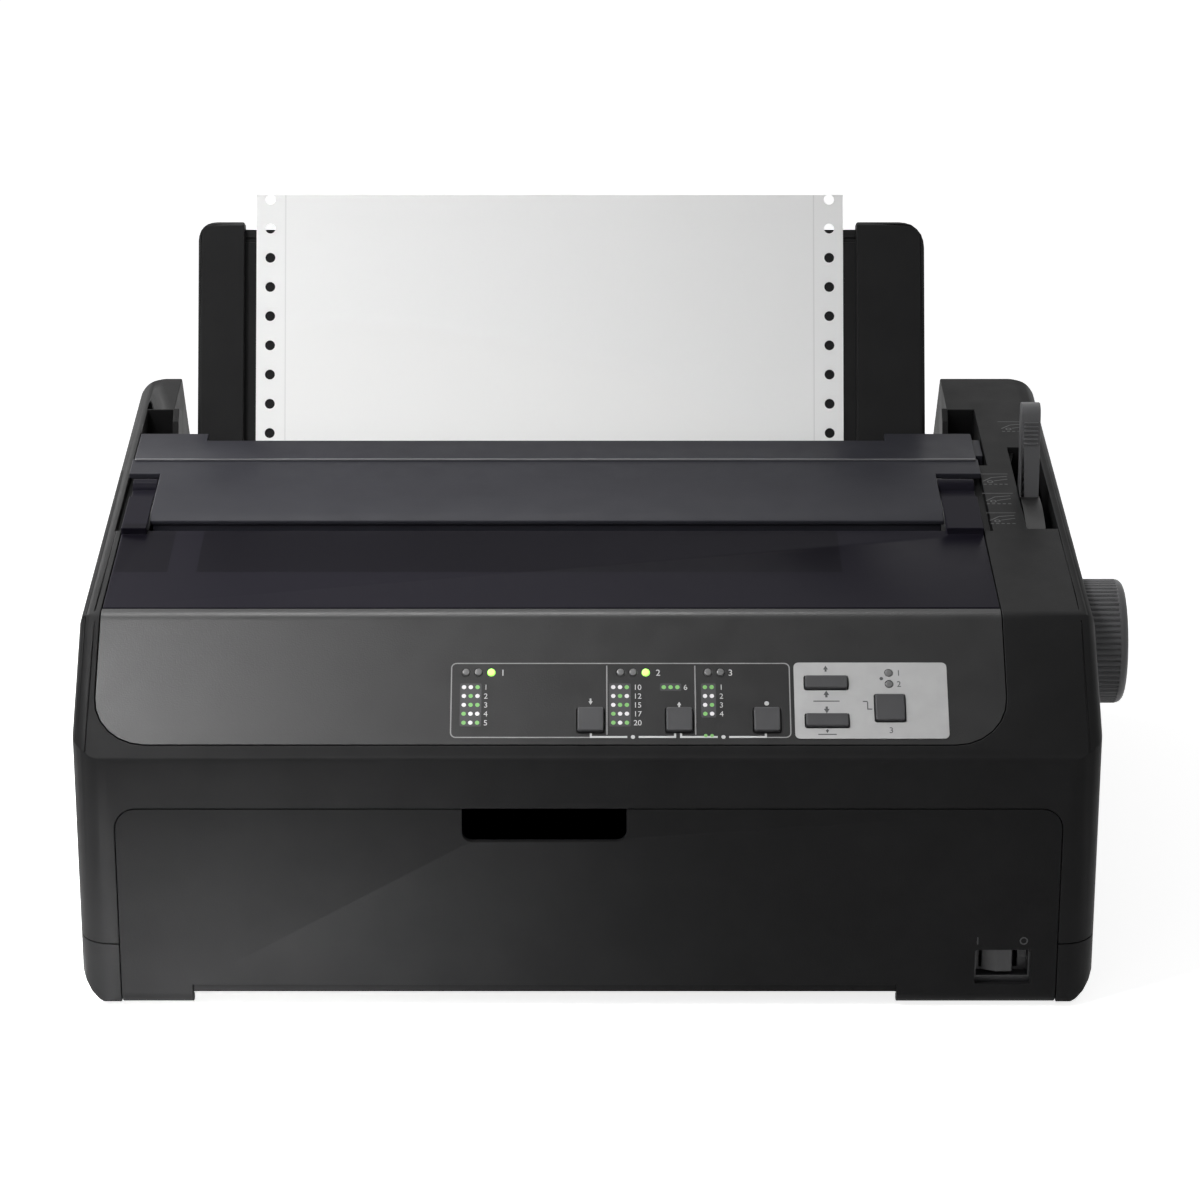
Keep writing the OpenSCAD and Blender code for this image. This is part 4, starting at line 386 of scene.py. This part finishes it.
def rounded_bar(bm, x0, x1, y0, y1, r):
    """A flat rectangle with rounded corners; returns its faces."""
    face = bar(bm, x0, x1, y0, y1)
    bmesh.ops.bevel(
        bm, geom=face.verts[:], offset=r, segments=5, profile=0.5, affect="VERTICES", material=-1
    )
    return [f for f in bm.faces if x0 - 0.01 <= f.calc_center_median().x <= x1 + 0.01]


def disc(bm, x, y, r, segments=20):
    """A flat disc with its middle at x, y."""
    bmesh.ops.create_circle(
        bm, cap_ends=True, radius=r, segments=segments, matrix=Matrix.Translation((x, y, 0))
    )


def arrow(bm, x, y, turn, head=1.6, shaft=1.2):
    """An arrow that points up the panel for turn 0."""
    made = bmesh.ops.create_circle(bm, cap_ends=True, radius=head / 2 * 1.15, segments=3)
    tail = bar(bm, -head * 0.2, head * 0.2, -head * 0.29 - shaft, -head * 0.29)
    verts = made["verts"] + tail.verts[:]
    bmesh.ops.transform(
        bm, verts=verts, matrix=Matrix.Translation((x, y, 0)) @ Matrix.Rotation(math.radians(turn), 4, "Z")
    )


def figures(bm, text, x, y, height):
    """Plain figures whose lower left corner is at x, y."""
    curve = bpy.data.curves.new("figures", "FONT")
    curve.body = text
    curve.size = height / 0.69
    helper = bpy.data.objects.new("figures", curve)
    bpy.context.scene.collection.objects.link(helper)
    bpy.context.view_layer.update()
    mesh = bpy.data.meshes.new_from_object(helper.evaluated_get(bpy.context.evaluated_depsgraph_get()))
    mesh.transform(Matrix.Translation((x, y, 0)))
    bm.from_mesh(mesh)
    bpy.data.objects.remove(helper)


def print_on(name, bm, material, place=ON_PANEL, body="casing", thickness=INK):
    """Gives flat faces the thickness of an ink layer and lays them on a surface."""
    bmesh.ops.remove_doubles(bm, verts=bm.verts, dist=1e-5)
    for face in bm.faces:
        if face.normal.z < 0:
            face.normal_flip()
    raised = bmesh.ops.extrude_face_region(bm, geom=bm.faces[:], use_keep_orig=True)
    bmesh.ops.translate(
        bm, vec=(0, 0, thickness), verts=[v for v in raised["geom"] if isinstance(v, bmesh.types.BMVert)]
    )
    bmesh.ops.recalc_face_normals(bm, faces=bm.faces)
    return show(name, bm, material, body, place)


DOT_PITCH = 2.6
ROW_PITCH = 2.79
DOT_R = 0.85
FIRST_ROW = 23.2
# Each legend: its left column and its rows from the top, w for a white dot and g for a green one
LEGENDS = [
    (-47.3, ["wwg", "wgw", "wgg", "gww", "gwg"]),
    (9.9, ["wwg", "wgw", "wgg", "gww", "gwg"]),
    (29.3, ["ggg"]),
    (45.05, ["gg", "ww", "wg", "gw"]),
]


def legend_dots():
    """The rows of small white and green dots on their darker fields."""
    fields, whites, greens = bmesh.new(), bmesh.new(), bmesh.new()
    for x, rows in LEGENDS:
        low = FIRST_ROW - ROW_PITCH * (len(rows) - 1)
        rounded_bar(
            fields, x - 1.5, x + DOT_PITCH * (len(rows[0]) - 1) + 1.5, up_panel(low) - 1.55,
            up_panel(FIRST_ROW) + 1.6, 0.6,
        )
        for i, row in enumerate(rows):
            for j, kind in enumerate(row):
                disc(
                    whites if kind == "w" else greens, x + j * DOT_PITCH,
                    up_panel(FIRST_ROW - i * ROW_PITCH), DOT_R, 16,
                )
    for x in (45.1, 47.5):
        disc(greens, x, up_panel(8), 0.7, 16)
    print_on("legend_fields", fields, FIELD_INK)
    over = ON_PANEL @ Matrix.Translation((0, 0, INK))
    print_on("white_legend_dots", whites, WHITE_DOT, over)
    print_on("green_legend_dots", greens, GREEN_DOT, over)


FRAME_X = (-52.4, 77.8)
FRAME_Y = (7.3, 30.9)
LINE_W = 0.45
BRACKET_W = 0.8
BRACKETS = [(0.9, 33.8), (35.3, 68.4)]
DIVIDERS = (7.45, 41.3)


def panel_lines():
    """The outline round the keys, its dividers and the brackets that join the keys."""
    thin, bright = bmesh.new(), bmesh.new()
    faces = rounded_bar(thin, *FRAME_X, up_panel(FRAME_Y[0]), up_panel(FRAME_Y[1]), 2.2)
    bmesh.ops.inset_region(thin, faces=faces, thickness=LINE_W, use_boundary=True)
    bmesh.ops.delete(thin, geom=faces, context="FACES_ONLY")
    for x in (BRACKETS[0][0], BRACKETS[1][1]):
        bmesh.ops.bisect_plane(
            thin, geom=thin.verts[:] + thin.edges[:] + thin.faces[:], plane_co=(x, 0, 0), plane_no=(1, 0, 0)
        )
    below = [
        f for f in thin.faces
        if f.calc_center_median().y < up_panel(FRAME_Y[0] + 1)
        and BRACKETS[0][0] < f.calc_center_median().x < BRACKETS[1][1]
    ]
    bmesh.ops.delete(thin, geom=below, context="FACES")
    for x in DIVIDERS:
        bar(thin, x - LINE_W / 2, x + LINE_W / 2, up_panel(8.3), up_panel(30))
    y = up_panel(FRAME_Y[0])
    for x0, x1 in BRACKETS:
        middle = (x0 + x1) / 2
        bar(bright, x0, middle - 2.2, y, y + BRACKET_W)
        bar(bright, middle + 2.2, x1, y, y + BRACKET_W)
        for x in (x0, x1 - BRACKET_W):
            bar(bright, x, x + BRACKET_W, y + BRACKET_W, y + 2)
        disc(bright, middle, y + BRACKET_W / 2, 0.8)
    print_on("panel_outline", thin, DIM_INK)
    print_on("key_brackets", bright, PALE_INK)


def panel_figures():
    """Plain figures and arrows beside the legends and the keys."""
    bm = bmesh.new()
    rows = [
        (-39.7, ["1", "2", "3", "4", "5"]), (17.6, ["10", "12", "15", "17", "20"]), (36.8, ["6"]),
        (50.5, ["1", "2", "3", "4"]),
    ]
    for x, texts in rows:
        for i, text in enumerate(texts):
            figures(bm, text, x, up_panel(FIRST_ROW - i * ROW_PITCH) - 1.1, 2.2)
    for text, x in (("1", -33.4), ("2", 26.2), ("3", 54)):
        figures(bm, text, x, up_panel(27.8) - 1.3, 2.6)
    arrow(bm, 1.2, up_panel(18.4), 180)
    arrow(bm, 35.1, up_panel(17.9), 0)
    disc(bm, 68.6, up_panel(18.1), 0.9)
    print_on("panel_figures", bm, PALE_INK)


def label_figures():
    """Plain arrows, bars and a figure on the pale label."""
    bm = bmesh.new()
    arrow(bm, 91.5, up_panel(21.1), 0, 2.2, 1)
    arrow(bm, 91.5, up_panel(15.8), 180, 2.2, 1)
    bar(bm, 86.5, 96.5, up_panel(18.7) - 0.2, up_panel(18.7) + 0.2)
    arrow(bm, 91.5, up_panel(29.1), 0, 1.9, 0.9)
    bar(bm, 88, 95, up_panel(8.3) - 0.2, up_panel(8.3) + 0.2)
    arrow(bm, 91.5, up_panel(9.3), 180, 1.4, 0.4)
    # the line that joins the pair of arrows to the key beside them
    bar(bm, 105.4, 107.2, up_panel(18.6) - 0.2, up_panel(18.6) + 0.2)
    bar(bm, 107.0, 107.4, up_panel(16.2) - 0.2, up_panel(18.6) - 0.2)
    bar(bm, 107.4, 108.9, up_panel(16.2) - 0.2, up_panel(16.2) + 0.2)
    disc(bm, 112.8, up_panel(25.8), 0.7)
    figures(bm, "1", 118.6, up_panel(27.6) - 1.2, 2.4)
    figures(bm, "2", 118.6, up_panel(24.1) - 1.2, 2.4)
    figures(bm, "3", 115, up_panel(9.6) - 1.2, 2.4)
    print_on("label_figures", bm, BLACK_INK, ON_PANEL @ Matrix.Translation((0, 0, 0.3)))


legend_dots()
panel_lines()
panel_figures()
label_figures()

LAMP_R = 1.5
LAMP_ROW = 27.9
DARK_LAMPS = [(x, LAMP_ROW) for x in (-46.6, -41.8, 12.7, 17.5, 46.3, 51.1)] + [(115.7, 27.6), (115.7, 24.1)]
LIT_LAMPS = [(x, LAMP_ROW) for x in (-36.9, 22.4)]


def lamps(name, places, material):
    """Domed lamp lenses that stand in the panel's holes."""
    bm = bmesh.new()
    for x, y in places:
        made = bmesh.ops.create_cone(
            bm, cap_ends=True, cap_tris=False, segments=32, radius1=LAMP_R, radius2=LAMP_R, depth=4.3,
            matrix=Matrix.Translation((x, up_panel(y), -1.65)),
        )
        top = [e for v in made["verts"] if v.co.z > 0 for e in v.link_edges if e.other_vert(v).co.z > 0]
        bmesh.ops.bevel(
            bm, geom=list(set(top)), offset=0.45, segments=4, profile=0.5, affect="EDGES", material=-1
        )
    piece = show(name, bm, material, "casing", ON_PANEL)
    for face in piece.data.polygons:
        face.use_smooth = True
    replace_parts(piece, "panel_lamps")


lamps("dark_lamps", DARK_LAMPS, DARK_LENS)
lamps("lit_lamps", LIT_LAMPS, MATERIALS["lamp_green"])


# ---- engraved marks ------------------------------------------------------------------------------


def stroke(bm, a, b, width):
    """A flat bar from a to b."""
    a, b = Vector(a), Vector(b)
    line = b - a
    made = bar(bm, 0, line.length, -width / 2, width / 2)
    turn = Matrix.Rotation(math.atan2(line.y, line.x), 4, "Z")
    bmesh.ops.transform(bm, verts=made.verts[:], matrix=Matrix.Translation((a.x, a.y, 0)) @ turn)


def ring(bm, x, y, r, width, segments=28):
    """A flat ring with its middle at x, y; r is its outer radius."""
    made = bmesh.ops.create_circle(
        bm, cap_ends=True, radius=r, segments=segments, matrix=Matrix.Translation((x, y, 0))
    )
    face = made["verts"][0].link_faces[0]
    bmesh.ops.inset_region(bm, faces=[face], thickness=width, use_boundary=True)
    bmesh.ops.delete(bm, geom=[face], context="FACES_ONLY")


MARK_DEPTH = 0.02
# Beside the lever slot: left end, right end and distance from the front of each line
LEVER_MARKS = [(176.9, 187.3, 236.5), (163.8, 175.8, 180.7), (163.3, 176, 160.9), (163.1, 175.3, 141.3)]


def lever_marks():
    """A line and a small picture of a sheet over a roller at each place of the lever."""
    bm = bmesh.new()
    for x0, x1, y in LEVER_MARKS:
        s = (y - SHOULDER_Y) / math.cos(TOP_TILT)
        stroke(bm, (x0, s), (x1, s), 0.45)
        x = x0 + 1
        for a, b in (((0, -7.6), (4, -3.6)), ((4, -3.6), (10.4, -2.6)), ((4.6, -7.2), (10.4, -5.4))):
            stroke(bm, (x + a[0], s + a[1]), (x + b[0], s + b[1]), 0.5)
        ring(bm, x + 3, s - 8, 1.3, 0.5, 20)
        for i in range(5):
            stroke(bm, (x + 2.2 * i, s - 10.6), (x + 2.2 * i + 1.3, s - 10.6), 0.6)
    print_on("lever_marks", bm, ENGRAVED, ON_SHOULDER, thickness=MARK_DEPTH)


def switch_marks():
    """The plain on and off marks above the power switch."""
    bm = bmesh.new()
    stroke(bm, (150.7, 24.9), (150.7, 27.9), 0.5)
    ring(bm, 168.5, 26.4, 1.6, 0.5)
    print_on("switch_marks", bm, ENGRAVED, ON_FRONT, "front_cover", MARK_DEPTH)


lever_marks()
switch_marks()


# The rib's size, and its middle as seen from the rear end of the shoulders
RIDGE_SIZE = (353, 1.8, 1.2)
RIDGE_MIDDLE = (-13.5, -98.4, 3.1)


def hood_ridge():
    """The polished rib across the hood, in front of its rear band."""
    bm = bmesh.new()
    size = Matrix.Diagonal((*RIDGE_SIZE, 1))
    bmesh.ops.create_cube(bm, size=1, matrix=Matrix.Translation(RIDGE_MIDDLE) @ size)
    bmesh.ops.bevel(
        bm, geom=bm.edges[:], offset=0.5, segments=4, profile=0.5, affect="EDGES", material=-1
    )
    polished = moulded("ridge_plastic", (0.018, 0.018, 0.022), (0.021, 0.021, 0.026), 0.34, 0.3, 0.5)
    show("hood_ridge", bm, polished, body_of["rear_cover"], ON_SHOULDER)


hood_ridge()


# ---- light, floor and camera ----------------------------------------------------------------------


# How strongly the world lights the object, and how much of the floor's white is its own
WORLD_LIGHT = 0.28
FLOOR_GLOW = 0.8


def seen_directly(tree):
    """1 for what the camera sees straight, in a gloss or through glass, and 0 for light on the object."""
    path = tree.nodes.new("ShaderNodeLightPath")
    total = path.outputs["Is Camera Ray"]
    for name in ("Is Glossy Ray", "Is Transmission Ray"):
        both = tree.nodes.new("ShaderNodeMath")
        both.operation = "MAXIMUM"
        tree.links.new(total, both.inputs[0])
        tree.links.new(path.outputs[name], both.inputs[1])
        total = both.outputs[0]
    return total


def studio():
    """A white world and floor that look white and light the object at a plain level."""
    world = bpy.data.worlds.new("studio")
    bpy.context.scene.world = world
    world.use_nodes = True
    tree = world.node_tree
    background = tree.nodes["Background"]
    background.inputs["Color"].default_value = (1, 1, 1, 1)
    strength = tree.nodes.new("ShaderNodeMapRange")
    strength.inputs["To Min"].default_value = WORLD_LIGHT
    strength.inputs["To Max"].default_value = 1.0
    tree.links.new(seen_directly(tree), strength.inputs["Value"])
    tree.links.new(strength.outputs["Result"], background.inputs["Strength"])

    mesh = bpy.data.meshes.new("floor")
    bm = bmesh.new()
    bmesh.ops.create_grid(bm, x_segments=1, y_segments=1, size=6)
    bm.to_mesh(mesh)
    bm.free()
    floor = bpy.data.objects.new("floor", mesh)
    bpy.context.scene.collection.objects.link(floor)
    paint = bpy.data.materials.new("floor_paint")
    paint.use_nodes = True
    tree = paint.node_tree
    shader = tree.nodes["Principled BSDF"]
    shader.inputs["Base Color"].default_value = (0.85, 0.85, 0.85, 1)
    shader.inputs["Roughness"].default_value = 0.9
    shader.inputs["Specular IOR Level"].default_value = 0.0
    shader.inputs["Emission Color"].default_value = (1, 1, 1, 1)
    glow = tree.nodes.new("ShaderNodeMath")
    glow.operation = "MULTIPLY"
    glow.inputs[1].default_value = FLOOR_GLOW
    tree.links.new(seen_directly(tree), glow.inputs[0])
    tree.links.new(glow.outputs[0], shader.inputs["Emission Strength"])
    mesh.materials.append(paint)


def soft_light(name, place, target, size, watts, glossy=True, spread=180, diffuse=True):
    """A softbox, with its spread in degrees.

    One without glossy doesn't show in glosses, and one without diffuse shows only there.
    """
    data = bpy.data.lights.new(name, "AREA")
    data.shape = "RECTANGLE"
    data.size, data.size_y = size
    data.energy = watts
    data.spread = math.radians(spread)
    lamp = bpy.data.objects.new(name, data)
    lamp.location = place
    lamp.rotation_euler = (Vector(target) - Vector(place)).to_track_quat("-Z", "Y").to_euler()
    lamp.visible_glossy = glossy
    lamp.visible_diffuse = diffuse
    bpy.context.scene.collection.objects.link(lamp)


# The camera's place in metres, and the tilt of its view from straight down
CAMERA_Y, CAMERA_Z = -1.5502, 0.65357
CAMERA_TILT = math.radians(70.48)


def camera():
    """The camera at the photograph's viewing angle, in front of the casing's middle."""
    data = bpy.data.cameras.new("camera")
    data.sensor_width = 36
    data.lens = 117
    data.shift_x = 0.0105
    camera = bpy.data.objects.new("camera", data)
    camera.location = (CASING_MIDDLE_X * MM, CAMERA_Y, CAMERA_Z + CASING_LIFT * MM)
    camera.rotation_euler = (CAMERA_TILT, 0, 0)
    bpy.context.scene.collection.objects.link(camera)
    bpy.context.scene.camera = camera


studio()
soft_light("near_left", (-0.5, -0.45, 0.42), (-0.1, -0.15, 0.08), (0.25, 0.25), 0.6, glossy=False)
soft_light("door_softbox", (-0.3, -0.6, 0.015), (-0.15, -0.175, -0.02), (0.16, 0.02), 0.4, spread=34)
soft_light("left_softbox", (-0.85, -0.35, 0.95), (-0.1, -0.05, 0.1), (0.6, 0.6), 2.5)
soft_light("panel_softbox", (-0.6, -0.5, 1.25), (-0.16, -0.2, 0.08), (0.3, 0.4), 1.8, spread=50)
soft_light("hood_softbox", (-0.5, 0.4, 0.5), (-0.14, 0.02, 0.15), (0.3, 0.3), 0.4, spread=60)
soft_light("edge_strip", (-0.25, 0.4, 1.2), (0, 0, 0.12), (0.9, 0.1), 11, diffuse=False)
soft_light("front_fill", (-0.2, -1.9, 1.2), (0, 0, 0.12), (1.4, 0.9), 1.5, glossy=False)
camera()
bpy.context.scene.view_settings.view_transform = "Standard"
